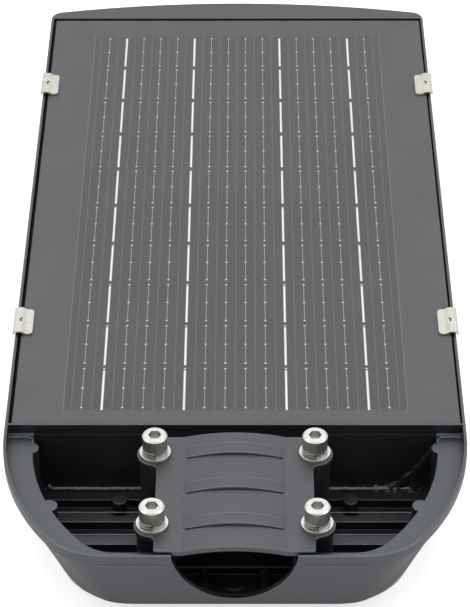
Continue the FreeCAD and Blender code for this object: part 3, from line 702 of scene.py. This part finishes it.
class MeshMaker:
    """Collects points and faces for one piece."""

    def __init__(self, name: str) -> None:
        """Starts an empty piece.

        Args:
            name: The piece's name.
        """
        self.name = name
        self.points: List[Vector] = []
        self.faces: List[Tuple[int, ...]] = []

    def plate(self, first: Sequence[float], second: Sequence[float]) -> None:
        """Adds a thin box.

        Args:
            first: One corner.
            second: The opposite corner.
        """
        low, high = ([pick(pair) for pair in zip(first, second)] for pick in (min, max))
        start = len(self.points)
        for z in (low[2], high[2]):
            self.points += [Vector((x, y, z)) for x, y in (
                (low[0], low[1]), (high[0], low[1]), (high[0], high[1]), (low[0], high[1]))]
        sides = ((0, 3, 2, 1), (4, 5, 6, 7), (0, 1, 5, 4), (1, 2, 6, 5), (2, 3, 7, 6), (3, 0, 4, 7))
        self.faces += [tuple(start + corner for corner in side) for side in sides]

    def slope(self, outer: Tuple[float, ...], inner: Tuple[float, ...], outer_z: float, inner_z: float) -> None:
        """Adds a rectangular skin that slopes from its outer edge to its inner edge.

        Args:
            outer: Low x, low y, high x and high y of its outer edge.
            inner: The same of its inner edge.
            outer_z: Height of its outer edge.
            inner_z: Height of its inner edge.
        """
        start = len(self.points)
        for edge, z in ((outer, outer_z), (inner, inner_z)):
            self.points += [Vector((edge[x], edge[y], z)) for x, y in ((0, 1), (2, 1), (2, 3), (0, 3))]
        for corner in range(4):
            beside = (corner + 1) % 4
            self.faces.append((start + corner, start + beside, start + 4 + beside, start + 4 + corner))

    def rope(self, path: Sequence[Vector], bead: Bead) -> None:
        """Runs a bead along a path.

        Args:
            path: Corner points of the path.
            bead: The bead.
        """
        stops: List[Vector] = []
        for first, second in zip(path, path[1:]):
            count = max(1, int((second - first).length / bead.ring_step))
            stops += [first.lerp(second, index / count) for index in range(count)]
        stops.append(path[-1])
        base, sides = len(self.points), bead.ring_points
        for index, stop in enumerate(stops):
            ahead = stops[min(index + 1, len(stops) - 1)] - stops[max(index - 1, 0)]
            side = ahead.cross(Vector((0.0, 0.0, 1.0))).normalized()
            up = side.cross(ahead).normalized()
            for corner in range(sides):
                angle = math.tau * corner / sides
                spot = stop + (side * math.cos(angle) + up * math.sin(angle)) * bead.radius
                wander = noise.noise(spot / (bead.radius * LUMP_SHARE)) * bead.wander
                self.points.append(stop + (spot - stop) * (1.0 + wander))
        for here in range(base, len(self.points) - sides, sides):
            for corner in range(sides):
                beside = (corner + 1) % sides
                self.faces.append((here + corner, here + sides + corner, here + sides + beside, here + beside))
        self.faces.append(tuple(range(base, base + sides)))
        self.faces.append(tuple(reversed(range(len(self.points) - sides, len(self.points)))))

    def sheet(self, rows: Sequence[Sequence[Vector]], keep: Optional[Sequence[Sequence[bool]]] = None) -> None:
        """Adds a grid of points as a skin.

        Args:
            rows: The points, row by row.
            keep: Whether each point lies inside the sheet's outline, or None where all do.
        """
        base, width = len(self.points), len(rows[0])
        self.points += [point for row in rows for point in row]
        for i in range(len(rows) - 1):
            for j in range(width - 1):
                if keep is None or all(keep[a][b] for a in (i, i + 1) for b in (j, j + 1)):
                    first = base + i * width + j
                    self.faces.append((first, first + 1, first + width + 1, first + width))

    @staticmethod
    def weld(mesh: bpy.types.Mesh) -> None:
        """Joins a mesh's sheets into one closed shell that faces outward, and keeps its edges sharp.

        Args:
            mesh: The mesh to weld.
        """
        shell = bmesh.new()
        shell.from_mesh(mesh)
        bmesh.ops.remove_doubles(shell, verts=shell.verts, dist=WELD_REACH)
        bmesh.ops.recalc_face_normals(shell, faces=shell.faces)
        shell.to_mesh(mesh)
        shell.free()
        mesh.set_sharp_from_angle(angle=math.radians(SHARP_DEGREES))

    def finish(self, material: bpy.types.Material, slot: str, smooth: bool = False,
               welded: bool = False) -> bpy.types.Object:
        """Makes the piece.

        Args:
            material: Its material.
            slot: Its slot in the record. Not used.
            smooth: Whether its shading is smooth.
            welded: Whether its sheets are joined into one shell.

        Returns:
            The piece, riding on the head.
        """
        mesh = bpy.data.meshes.new(self.name)
        mesh.from_pydata([tuple(point) for point in self.points], [], self.faces)
        mesh.validate()
        mesh.materials.append(material)
        for face in mesh.polygons:
            face.use_smooth = smooth
        if welded:
            self.weld(mesh)
        piece = put_in_scene(self.name, mesh)
        mount(piece)
        return piece


@dataclass
class SolarPanel:
    """Glass, cells and everything printed on the cells."""

    wardrobe: Wardrobe
    rows: int = 10
    busbars: int = 16
    ribbon_places: Tuple[int, ...] = (1, 5, 10, 14)
    busbar_pitch: float = 10.9 * MM
    row_gap: float = 2.0 * MM
    ribbon_width: float = 1.2 * MM
    ribbon_setback: float = 1.4 * MM
    pitch_loss: float = 0.233 * MM
    print_shift: float = 0.85 * MM
    cell_shift: float = 1.3 * MM
    cell_gap: float = 0.5 * MM
    line_width: float = 0.32 * MM
    line_setback: float = 1.5 * MM
    pad_size: Triple = (1.3 * MM, 0.9 * MM, 0.05 * MM)
    pads_per_row: int = 3
    layer: float = 0.03 * MM
    border_line: float = 0.35 * MM
    side_gap: float = 0.5 * MM
    near_gap: float = 0.5 * MM
    far_gap: float = 3.0 * MM
    film_depth: float = 0.12 * MM
    sealant_shade_widths: Pair = (1.0 * MM, 0.2 * MM)

    def build(self) -> None:
        """Dresses the panel's nodes and prints the layers that show through the glass."""
        self.wardrobe.dress(Finish.GLASS, "panel_glass")
        self.wardrobe.dress(Finish.CELL, "solar_cells")
        self.wardrobe.dress(Finish.RIBBON, "cell_ribbons")
        self.wardrobe.dress(Finish.BACK_FILM, "panel_backsheet")
        self.wardrobe.dress(Finish.RUBBER, "panel_seal")
        self.wardrobe.dress(Finish.PLASTIC, "junction_box")
        self.lay_film()
        self.lay_cells()
        self.print_busbars()
        self.run_sealant_gap_shade()

    def level(self, layers: float) -> float:
        """Returns a height, counted in layers up from the glass's underside."""
        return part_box("panel_glass")[0].z + layers * self.layer

    def row_pitch(self) -> float:
        """Returns the distance from one row of cells to the next."""
        low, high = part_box("solar_cells")
        return (high.y - low.y + self.row_gap) / self.rows

    def lay_film(self) -> None:
        """Lays the dark film under the array and up to the edge of the glass, with a pale line at each side."""
        low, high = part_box("solar_cells")
        glass_low, glass_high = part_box("panel_glass")
        inner = (low.x - self.side_gap, low.y - self.near_gap, high.x + self.side_gap, high.y + self.far_gap)
        film = MeshMaker("margin_film")
        film.plate((*inner[:2], self.level(0.5)), (*inner[2:], self.level(1)))
        film.slope((*glass_low.xy, *glass_high.xy), inner, glass_high.z - self.film_depth, self.level(1))
        film.finish(self.wardrobe.get(Finish.BACK_FILM), "backsheet")
        border = MeshMaker("array_border")
        for edge, inward in ((inner[0], self.border_line), (inner[2], -self.border_line)):
            border.plate((edge, inner[1], self.level(1)), (edge + inward, inner[3], self.level(2)))
        border.finish(self.wardrobe.get(Finish.BORDER), "backsheet")

    def lay_cells(self) -> None:
        """Lays the faces of the cells and their wide ribbons."""
        low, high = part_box("solar_cells")
        pitch = self.row_pitch()
        wide = self.ribbon_width / 2
        half = (pitch - self.pitch_loss - self.cell_gap) / 2
        cells = MeshMaker("cell_faces")
        ribbons = MeshMaker("ribbon_faces")
        for row in range(self.rows):
            place = row - (self.rows - 1) / 2
            centre = (low.y + high.y) / 2 + self.cell_shift + place * (pitch - self.pitch_loss)
            cells.plate((low.x, centre - half, self.level(1)), (high.x, centre + half, self.level(2)))
            near = low.y + row * pitch + self.ribbon_setback
            far = low.y + (row + 1) * pitch - self.row_gap - self.ribbon_setback
            for busbar in self.ribbon_places:
                x = (busbar - (self.busbars - 1) / 2) * self.busbar_pitch
                ribbons.plate((x - wide, near, self.level(2)), (x + wide, far, self.level(4)))
        cells.finish(self.wardrobe.get(Finish.CELL), "cell")
        ribbons.finish(self.wardrobe.get(Finish.RIBBON), "ribbon")

    def print_busbars(self) -> None:
        """Prints the thin lines and their solder pads with the repeater."""
        low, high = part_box("solar_cells")
        middle = (low + high) / 2
        length = self.row_pitch() - self.row_gap - 2 * self.line_setback
        pad_pitch = length / (self.pads_per_row - 1)
        prints = (("busbar_lines", Finish.SILVER, 1, length, (self.line_width, length, self.layer)),
                  ("busbar_pads", Finish.PAD, self.pads_per_row, pad_pitch, self.pad_size))
        for name, finish, marks, mark_pitch, size in prints:
            mount(Repeater(name, self.wardrobe.get(finish)).bake(
                Columns=self.busbars, Rows=self.rows, Marks=marks, Column_Pitch=self.busbar_pitch,
                Row_Pitch=self.row_pitch() - self.pitch_loss, Mark_Pitch=mark_pitch, Size=size,
                Centre=(middle.x, middle.y + self.print_shift, self.level(2.5))))

    def run_sealant_gap_shade(self) -> None:
        """Runs a thin strip of black sealant along both sides of the glass, near-black as painted shade of the gap
        beside it.
        """
        low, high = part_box("panel_glass")
        bead = MeshMaker("panel_side_sealant_shade")
        for edge, inward in ((low.x, self.sealant_shade_widths[0]), (high.x, -self.sealant_shade_widths[1])):
            bead.plate((edge, low.y, high.z), (edge + inward, high.y, high.z + self.layer))
        bead.finish(self.wardrobe.get(Finish.SEALANT_GAP_SHADE), "black_rubber")


@dataclass
class Casting:
    """The coated casting with its saddle and fasteners."""

    wardrobe: Wardrobe

    def build(self) -> None:
        """Dresses the casting, the saddle and the fasteners."""
        self.wardrobe.dress(Finish.CASTING, "housing")
        self.wardrobe.dress(Finish.PRESSING, "pole_saddle", "lens_bezel")
        self.wardrobe.dress(
            Finish.STAINLESS, "saddle_screws", "saddle_flat_washers", "saddle_spring_washers", "lens_bezel_screws",
            "lamp_board_screws", "battery_strap_screws", "controller_screws", "sensor_board_screws")


@dataclass
class PressedSaddle:
    """Painted highlight lines and specks on the saddle's rib crests and along the band's lower edge, and painted shade
    lines at the ribs' near feet.
    """

    wardrobe: Wardrobe
    ribs: int = 3
    first_rib: float = 8.3 * MM
    rib_pitch: float = 27.3 * MM
    rib_length: float = 9.2 * MM
    rib_rise: float = 1.4 * MM
    arch_half: float = 26.3 * MM
    arch_rise: float = 3.2 * MM
    arc_share: float = 0.93
    arc_steps: int = 24
    plate_top: float = 54.0 * MM
    crest: Bead = Bead(0.2 * MM, 0.3, 0.8 * MM)
    crest_inset: float = 1.5 * MM
    crease_shade: Bead = Bead(0.48 * MM, 0.2, 0.8 * MM)
    crease_shade_ahead: float = 0.1 * MM
    speck: Bead = Bead(0.32 * MM, 0.3, 0.5 * MM)
    speck_ahead: float = 0.9 * MM
    speck_span: Pair = (25.4 * MM, 27.4 * MM)
    band: Bead = Bead(0.2 * MM, 0.3, 1.0 * MM)
    band_inset: float = 0.5 * MM
    band_z: float = 46.2 * MM
    band_span: Pair = (34 * MM, 68 * MM)

    def build(self) -> None:
        """Builds the lines."""
        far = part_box("pole_saddle")[1].y - self.first_rib
        crest_highlights = MeshMaker("rib_crest_highlights")
        crease_shades = MeshMaker("rib_crease_shades")
        for rib in range(self.ribs):
            end = far - rib * self.rib_pitch
            near = end - self.rib_length
            # Pale line near each rib's far edge: painted highlight.
            crest_highlights.rope(self.arc(end - self.crest_inset, self.arch_rise + self.rib_rise), self.crest)
            # Near-black line along each rib's near foot: painted shade of the rib's shaded near face.
            crease_shades.rope(self.arc(near - self.crease_shade_ahead, self.arch_rise), self.crease_shade)
            # Pale specks at the ends of each rib's near foot: painted highlight.
            self.run_pair(crest_highlights, self.speck, self.speck_span, near - self.speck_ahead, self.plate_top)
        crest_highlights.finish(self.wardrobe.get(Finish.HIGHLIGHT_LINE), "coated_steel", smooth=True)
        crease_shades.finish(self.wardrobe.get(Finish.SHADE_LINE), "coated_steel", smooth=True)
        # Pale line along the band's lower edge: painted highlight.
        band = MeshMaker("band_edge_highlight")
        self.run_pair(band, self.band, self.band_span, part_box("housing")[0].y + self.band_inset, self.band_z)
        band.finish(self.wardrobe.get(Finish.HIGHLIGHT_LINE), "coated_casting", smooth=True)

    @staticmethod
    def run_pair(maker: MeshMaker, bead: Bead, span: Pair, y: float, z: float) -> None:
        """Runs a straight bead across each side.

        Args:
            maker: The piece to add to.
            bead: The bead.
            span: Its two ends, as distances from the middle of the head.
            y: Where along the head.
            z: Its height.
        """
        for side in (-1.0, 1.0):
            maker.rope([Vector((side * x, y, z)) for x in span], bead)

    def arc(self, y: float, rise: float) -> List[Vector]:
        """Follows the arch from side to side.

        Args:
            y: Where along the head.
            rise: Height of the arch over the plate.

        Returns:
            The points of the arc.
        """
        radius = (self.arch_half ** 2 + rise ** 2) / (2 * rise)
        points = []
        for step in range(self.arc_steps + 1):
            x = self.arch_half * self.arc_share * (2 * step / self.arc_steps - 1)
            height = rise - radius + math.sqrt(radius ** 2 - x ** 2)
            points.append(Vector((x, y, self.plate_top + max(0.0, height))))
        return points


@dataclass(frozen=True)
class ClipPlace:
    """Where one clip sits, as its plain node says.

    The side is -1 for left and 1 for right. The outer face's distance is from the middle of the head, the reach is
    from there in to the tip, and the middle and half of its width are along the head.
    """

    name: str
    side: float
    outer: float
    reach: float
    middle: float
    half: float

    @classmethod
    def read(cls, name: str) -> "ClipPlace":
        """Reads the place of a clip.

        Args:
            name: The clip's node.

        Returns:
            Its place.
        """
        low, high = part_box(name)
        tip, outer = sorted((abs(low.x), abs(high.x)))
        side = 1.0 if low.x > 0 else -1.0
        return cls(name, side, outer, outer - tip, (low.y + high.y) / 2, (high.y - low.y) / 2)

    def spot(self, inset: float, ahead: float, height: float) -> Vector:
        """Places a point by its distance in from the clip's outer face, ahead of its middle, and up."""
        return Vector((self.side * (self.outer - inset), self.middle + ahead, height))


@dataclass
class SpringClips:
    """Bent sheet clips that step down from the rim to the glass, with a half-moon barb."""

    wardrobe: Wardrobe
    names: Tuple[str, ...] = ("clip_near_left", "clip_near_right", "clip_far_left", "clip_far_right")
    sheet: float = 1.0 * MM
    crest: float = 2.5 * MM
    drop_start: float = 4.0 * MM
    drop_end: float = 7.6 * MM
    bend: float = 1.3 * MM
    bend_steps: int = 6
    skirt: float = 0.9 * MM
    span_steps: int = 30
    slope_probe: float = 0.05 * MM
    width_steps: int = 6
    corner: float = 2.4 * MM
    barb_inset: float = 5.2 * MM
    barb_ahead: float = -0.2 * MM
    barb_radius: float = 1.5 * MM
    barb_start: float = 110.0
    barb_sweep: float = 120.0
    barb_steps: int = 8
    barb_slit_shade: Bead = Bead(0.42 * MM, 0.2, 0.3 * MM)

    def build(self) -> None:
        """Builds each clip in the place of its plain node."""
        for name in self.names:
            self.wardrobe.dress(Finish.CLIP, name)
            place = ClipPlace.read(name)
            piece = self.shape(place).finish(
                self.wardrobe.get(Finish.CLIP), "clip_steel", smooth=True, welded=True)
            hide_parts(name)
            # The slit's dark bead is painted shade.
            self.barb(place).finish(self.wardrobe.get(Finish.SHADE_LINE), "clip_steel", smooth=True)

    def top(self, inset: float) -> float:
        """Works out the height of the sheet's top.

        Args:
            inset: Distance in from the clip's outer face.

        Returns:
            The height.
        """
        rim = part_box("panel_glass")[1].z
        share = min(1.0, max(0.0, (inset - self.drop_start) / (self.drop_end - self.drop_start)))
        smooth = share * share * (3 - 2 * share)
        return rim + self.sheet + (self.crest - self.sheet) * (1 - smooth)

    def profile(self, reach: float) -> List[Tuple[float, float, float, float]]:
        """Lists inset, height and outward normal along the sheet's top.

        Args:
            reach: Distance from the outer face to the tip.

        Returns:
            The stations, from the skirt to the tip.
        """
        crest = self.top(0.0)
        stations = [(0.0, crest - self.bend - self.skirt, -1.0, 0.0)]
        for step in range(self.bend_steps + 1):
            angle = math.pi / 2 * step / self.bend_steps
            lean, lift = math.cos(angle), math.sin(angle)
            stations.append((self.bend * (1 - lean), crest - self.bend * (1 - lift), -lean, lift))
        for step in range(1, self.span_steps + 1):
            inset = self.bend + (reach - self.bend) * step / self.span_steps
            rise = (self.top(inset + self.slope_probe) - self.top(inset - self.slope_probe)) / (2 * self.slope_probe)
            length = math.hypot(1.0, rise)
            stations.append((inset, self.top(inset), -rise / length, 1.0 / length))
        return stations

    def shape(self, place: ClipPlace) -> MeshMaker:
        """Builds the sheet of one clip.

        Args:
            place: Where the clip sits.

        Returns:
            The clip, ready to finish.
        """
        above: List[List[Vector]] = []
        below: List[List[Vector]] = []
        for inset, height, lean, lift in self.profile(place.reach):
            to_tip = place.reach - inset
            cut = 0.0
            if to_tip < self.corner:
                cut = self.corner - math.sqrt(self.corner ** 2 - (self.corner - to_tip) ** 2)
            across = [(place.half - cut) * (2 * step / self.width_steps - 1) for step in range(self.width_steps + 1)]
            above.append([place.spot(inset, ahead, height) for ahead in across])
            below.append([place.spot(inset - lean * self.sheet, ahead, height - lift * self.sheet)
                          for ahead in across])
        clip = MeshMaker(place.name + "_spring")
        clip.sheet(above)
        clip.sheet(below)
        for edge in (0, -1):
            clip.sheet([[row[edge] for row in above], [row[edge] for row in below]])
            clip.sheet([above[edge], below[edge]])
        return clip

    def barb(self, place: ClipPlace) -> MeshMaker:
        """Builds the dark half-moon slit of one clip, a bead whose darkness is painted shade of the slit's opening.

        Args:
            place: Where the clip sits.

        Returns:
            The slit, ready to finish.
        """
        path = []
        for step in range(self.barb_steps + 1):
            angle = math.radians(self.barb_start + self.barb_sweep * step / self.barb_steps)
            inset = self.barb_inset + math.cos(angle) * self.barb_radius
            path.append(place.spot(inset, self.barb_ahead + math.sin(angle) * self.barb_radius, self.top(inset)))
        slit = MeshMaker(place.name + "_barb")
        slit.rope(path, self.barb_slit_shade)
        return slit


@dataclass
class CastingSkin:
    """Rough as-cast corners and edges in the clamp well, paler than the coat as painted highlight, and the sealant
    smeared up its right corner.

    The beads' paths are those of the right side, in millimetres: x, distance ahead of the partition's face, and z.
    """

    wardrobe: Wardrobe
    partition_ahead: float = 1.5 * MM
    wall_draft: float = 1.7 * MM
    wall_height: float = 42.9 * MM
    groove_z: float = 4.6 * MM
    land_z: float = 10.0 * MM
    foot: Bead = Bead(1.3 * MM, 0.3, 0.7 * MM, 7)
    foot_path: Tuple[Triple, ...] = ((99.8, -2.2, 13.0), (97.8, -2.5, 10.9), (49.5, -2.5, 10.9))
    edge: Bead = Bead(0.4 * MM, 0.55, 0.6 * MM, 7)
    edge_paths: Tuple[Tuple[Triple, ...], ...] = (
        ((95.0, -20.6, 10.0), (49.5, -20.6, 10.0)), ((86.0, -38.1, 10.0), (49.5, -38.1, 10.0)))
    ledge: Bead = Bead(0.5 * MM, 0.15, 0.5 * MM, 7)
    ledge_path: Tuple[Triple, ...] = (
        (119.4, -2.3, 46.4), (107.8, -2.3, 46.4), (106.2, -3.8, 46.4), (105.8, -7.3, 46.1))
    smear_x: Pair = (74.0 * MM, 106.0 * MM)
    smear_top: float = 42.0 * MM
    smear_step: float = 0.6 * MM
    smear_foot: float = 2.0 * MM
    smear_climb: float = 1.9
    smear_sink: float = 0.1 * MM
    smear_feather: float = 2.5 * MM
    rag_span: float = 4.5 * MM
    rag_slice: float = 0.3
    rag_height: float = 2.2 * MM
    fold_span: float = 4.6 * MM
    fold_shares: Pair = (0.7, 0.16)
    fold_noise: Tuple[float, float, int] = (1.1, 2.1, 2)
    fold_depth: float = 1.3 * MM
    bulge_depth: float = 1.6 * MM
    bulge_fade: float = 2.6 * MM

    def build(self) -> None:
        """Builds the beads and the smear."""
        wall_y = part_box("panel_glass")[0].y - self.partition_ahead
        beads = MeshMaker("casting_highlight_beads")
        runs = [(self.foot, self.foot_path), *((self.edge, path) for path in self.edge_paths),
                (self.ledge, self.ledge_path)]
        for side in (-1.0, 1.0):
            for bead, path in runs:
                beads.rope([Vector((side * x * MM, wall_y + ahead * MM, z * MM)) for x, ahead, z in path], bead)
        # The beads' pale finish is painted highlight.
        beads.finish(self.wardrobe.get(Finish.ROUGH_CAST_HIGHLIGHT), "coated_casting", smooth=True)
        self.smear(wall_y).finish(self.wardrobe.get(Finish.SMEAR), "coated_casting", smooth=True)

    def crest(self, x: float, z: float) -> float:
        """Works out how high the smear reaches.

        Args:
            x: Where across the partition.
            z: Height at which its ragged edge is looked at.

        Returns:
            The height of its edge.
        """
        start, end = self.smear_x
        ragged = noise.noise(Vector((x, z, self.rag_slice)) / self.rag_span) * self.rag_height
        climb = (self.smear_top - self.land_z) * ((x - start) / (end - start)) ** self.smear_climb
        return self.land_z + self.smear_foot + climb + ragged

    def depth(self, x: float, z: float) -> float:
        """Works out how thick the smear lies.

        Args:
            x: Where across the partition.
            z: Where up the partition.

        Returns:
            Its thickness.
        """
        across, along = self.fold_shares
        spot = Vector((x * across - z * across, x * along + z * along, 0.0)) / self.fold_span
        fold = 1.0 - abs(noise.fractal(spot, *self.fold_noise))
        feather = min(1.0, max(0.0, (self.crest(x, z) - z) / self.smear_feather))
        bulge = self.bulge_depth * math.exp(-(z - self.land_z) / self.bulge_fade)
        return self.smear_sink + feather * (self.fold_depth * fold + bulge)

    def smear(self, wall_y: float) -> MeshMaker:
        """Builds the smear on the partition.

        Args:
            wall_y: The partition's face at its top.

        Returns:
            The smear, ready to finish.
        """
        start, end = self.smear_x
        places = [start + column * self.smear_step for column in range(int((end - start) / self.smear_step) + 1)]
        points: List[List[Vector]] = []
        keep: List[List[bool]] = []
        for row in range(int((self.smear_top - self.land_z) / self.smear_step) + 1):
            z = self.land_z + row * self.smear_step
            face = wall_y - self.wall_draft * (1 - (z - self.groove_z) / self.wall_height)
            points.append([Vector((x, face - self.depth(x, z), z)) for x in places])
            keep.append([z < self.crest(x, z) for x in places])
        patch = MeshMaker("corner_smear")
        patch.sheet(points, keep)
        return patch


@dataclass
class Electronics:
    """What lies inside the bay and behind the two windows."""

    wardrobe: Wardrobe

    def build(self) -> None:
        """Dresses the inner pieces."""
        self.wardrobe.dress(Finish.SLEEVE, "battery_pack")
        self.wardrobe.dress(Finish.ZINC, "battery_straps")
        self.wardrobe.dress(Finish.CIRCUIT, "controller_board", "sensor_board")
        self.wardrobe.dress(Finish.PLASTIC, "controller_parts")
        self.wardrobe.dress(Finish.LENS, "lens_plate")
        self.wardrobe.dress(Finish.RUBBER, "lens_gasket")
        self.wardrobe.dress(Finish.WHITE_BOARD, "lamp_board")
        self.wardrobe.dress(Finish.CHIP, "lamp_chips")
        self.wardrobe.dress(Finish.SENSOR, "sensor_lens")


@dataclass(frozen=True)
class Softbox:
    """One square studio lamp."""

    name: str
    place: Triple
    aim: Triple
    side: float
    power: float

    def build(self) -> None:
        """Hangs the lamp and turns it to its aim."""
        data = bpy.data.lights.new(self.name, "AREA")
        data.shape = "SQUARE"
        data.size = self.side
        data.energy = self.power
        lamp = put_in_scene(self.name, data)
        lamp.location = self.place
        lamp.rotation_mode = "QUATERNION"
        lamp.rotation_quaternion = (Vector(self.aim) - Vector(self.place)).to_track_quat("-Z", "Y")
        LOG.info("hung %s", self.name)


@dataclass
class Studio:
    """Pale floor, white surround and soft lamps."""

    floor_half: float = 6.0
    world_light: float = 0.75
    floor_tone: float = 0.8
    floor_glow: float = 0.6
    floor_drop: float = 0.2 * MM
    clear_within: float = 12.0 * MM
    mirrored_glow: float = 0.06
    lamps: Tuple[Softbox, ...] = (
        Softbox("top_box", (0.0, 0.3, 1.9), (0.0, 0.0, 0.0), 1.6, 13.0),
        Softbox("left_box", (-1.7, -0.6, 0.9), (0.0, -0.1, 0.03), 1.1, 7.0),
        Softbox("right_box", (1.7, -0.6, 0.9), (0.0, -0.1, 0.03), 1.1, 7.0),
    )

    def build(self) -> None:
        """Builds floor, surround and lamps."""
        self.build_world()
        self.build_floor()
        for lamp in self.lamps:
            lamp.build()

    def build_world(self) -> None:
        """Makes a surround that is white to look at and lights the head plainly."""
        world = bpy.data.worlds.new("surround")
        bpy.context.scene.world = world
        graph = Graph(emptied(world))
        light = graph.add("ShaderNodeBackground", {"Strength": self.world_light, "Color": grey(1.0)})
        white = graph.add("ShaderNodeBackground", {"Strength": 1.0, "Color": grey(1.0)})
        rays = graph.add("ShaderNodeLightPath").outputs
        seen = graph.math("MAXIMUM", graph.math("MAXIMUM", rays["Is Camera Ray"], rays["Is Glossy Ray"]),
                          rays["Is Transmission Ray"])
        both = graph.add("ShaderNodeMixShader", {0: seen, 1: light, 2: white})
        graph.add("ShaderNodeOutputWorld", {"Surface": both})

    def build_floor(self) -> None:
        """Lays a pale floor that keeps a soft shadow and can be looked through from underneath."""
        low = CAD_BOX[0].z - self.floor_drop
        half = self.floor_half
        mesh = bpy.data.meshes.new("studio_floor")
        mesh.from_pydata([(-half, -half, low), (half, -half, low), (half, half, low), (-half, half, low)],
                         [], [(0, 1, 2, 3)])
        material = bpy.data.materials.new("pale_floor")
        graph = Graph(emptied(material))
        rays = graph.add("ShaderNodeLightPath").outputs
        plain = graph.math("MAXIMUM", rays["Is Camera Ray"], rays["Is Transmission Ray"])
        shown = graph.math("MULTIPLY", plain, self.floor_glow)
        mirrored = graph.math("MULTIPLY", rays["Is Glossy Ray"], self.mirrored_glow)
        matt = graph.add("ShaderNodeBsdfDiffuse", {"Color": grey(self.floor_tone)})
        glow = graph.add("ShaderNodeEmission", {
            "Color": grey(1.0), "Strength": graph.math("MAXIMUM", shown, mirrored)})
        bounced = graph.math("SUBTRACT", 1.0, rays["Is Camera Ray"])
        close = graph.math("MULTIPLY", graph.math("LESS_THAN", rays["Ray Length"], self.clear_within), bounced)
        behind = graph.add("ShaderNodeNewGeometry").outputs["Backfacing"]
        seen = graph.add("ShaderNodeMixShader", {
            0: graph.math("MAXIMUM", behind, close), 1: graph.add("ShaderNodeAddShader", {0: matt, 1: glow}),
            2: graph.add("ShaderNodeBsdfTransparent")})
        graph.add("ShaderNodeOutputMaterial", {"Surface": seen})
        mesh.materials.append(material)
        put_in_scene("studio_floor", mesh)


@dataclass(frozen=True)
class PhotoCamera:
    """The camera that took the photograph, worked out from the head's own edges."""

    place: Triple = (5.15 * MM, -1223.04 * MM, 924.31 * MM)
    pitch: float = 36.853
    yaw: float = -0.2736
    roll: float = -0.1608
    focal_pixels: float = 2611.44
    image_pixels: Tuple[int, int] = (470, 607)
    sensor_mm: float = 36.0
    clip: Pair = (0.05, 50.0)

    def build(self) -> None:
        """Places the camera and makes it the scene's own."""
        pitch, yaw, roll = (math.radians(angle) for angle in (self.pitch, self.yaw, self.roll))
        ahead = Vector((math.sin(yaw) * math.cos(pitch), math.cos(yaw) * math.cos(pitch), -math.sin(pitch)))
        level = Vector((math.cos(yaw), -math.sin(yaw), 0.0))
        above = level.cross(ahead)
        right = level * math.cos(roll) + above * math.sin(roll)
        upward = above * math.cos(roll) - level * math.sin(roll)
        turn = Matrix((right, upward, -ahead)).transposed()
        data = bpy.data.cameras.new("photo_camera")
        data.sensor_width = self.sensor_mm
        data.lens = self.focal_pixels / max(self.image_pixels) * self.sensor_mm
        data.clip_start, data.clip_end = self.clip
        camera = put_in_scene("photo_camera", data)
        camera.matrix_world = Matrix.Translation(Vector(self.place)) @ turn.to_4x4()
        bpy.context.scene.camera = camera


def main() -> None:
    """Builds the camera, the studio and every dressed piece."""
    logging.basicConfig(level=logging.INFO)
    PhotoCamera().build()
    Studio().build()
    wardrobe = Wardrobe()
    for assembly in (Casting, CastingSkin, PressedSaddle, SpringClips, SolarPanel, Electronics):
        assembly(wardrobe).build()
        LOG.info("finished %s", assembly.__name__)
    bpy.context.scene.view_settings.view_transform = "Standard"


if __name__ == "__main__":
    main()
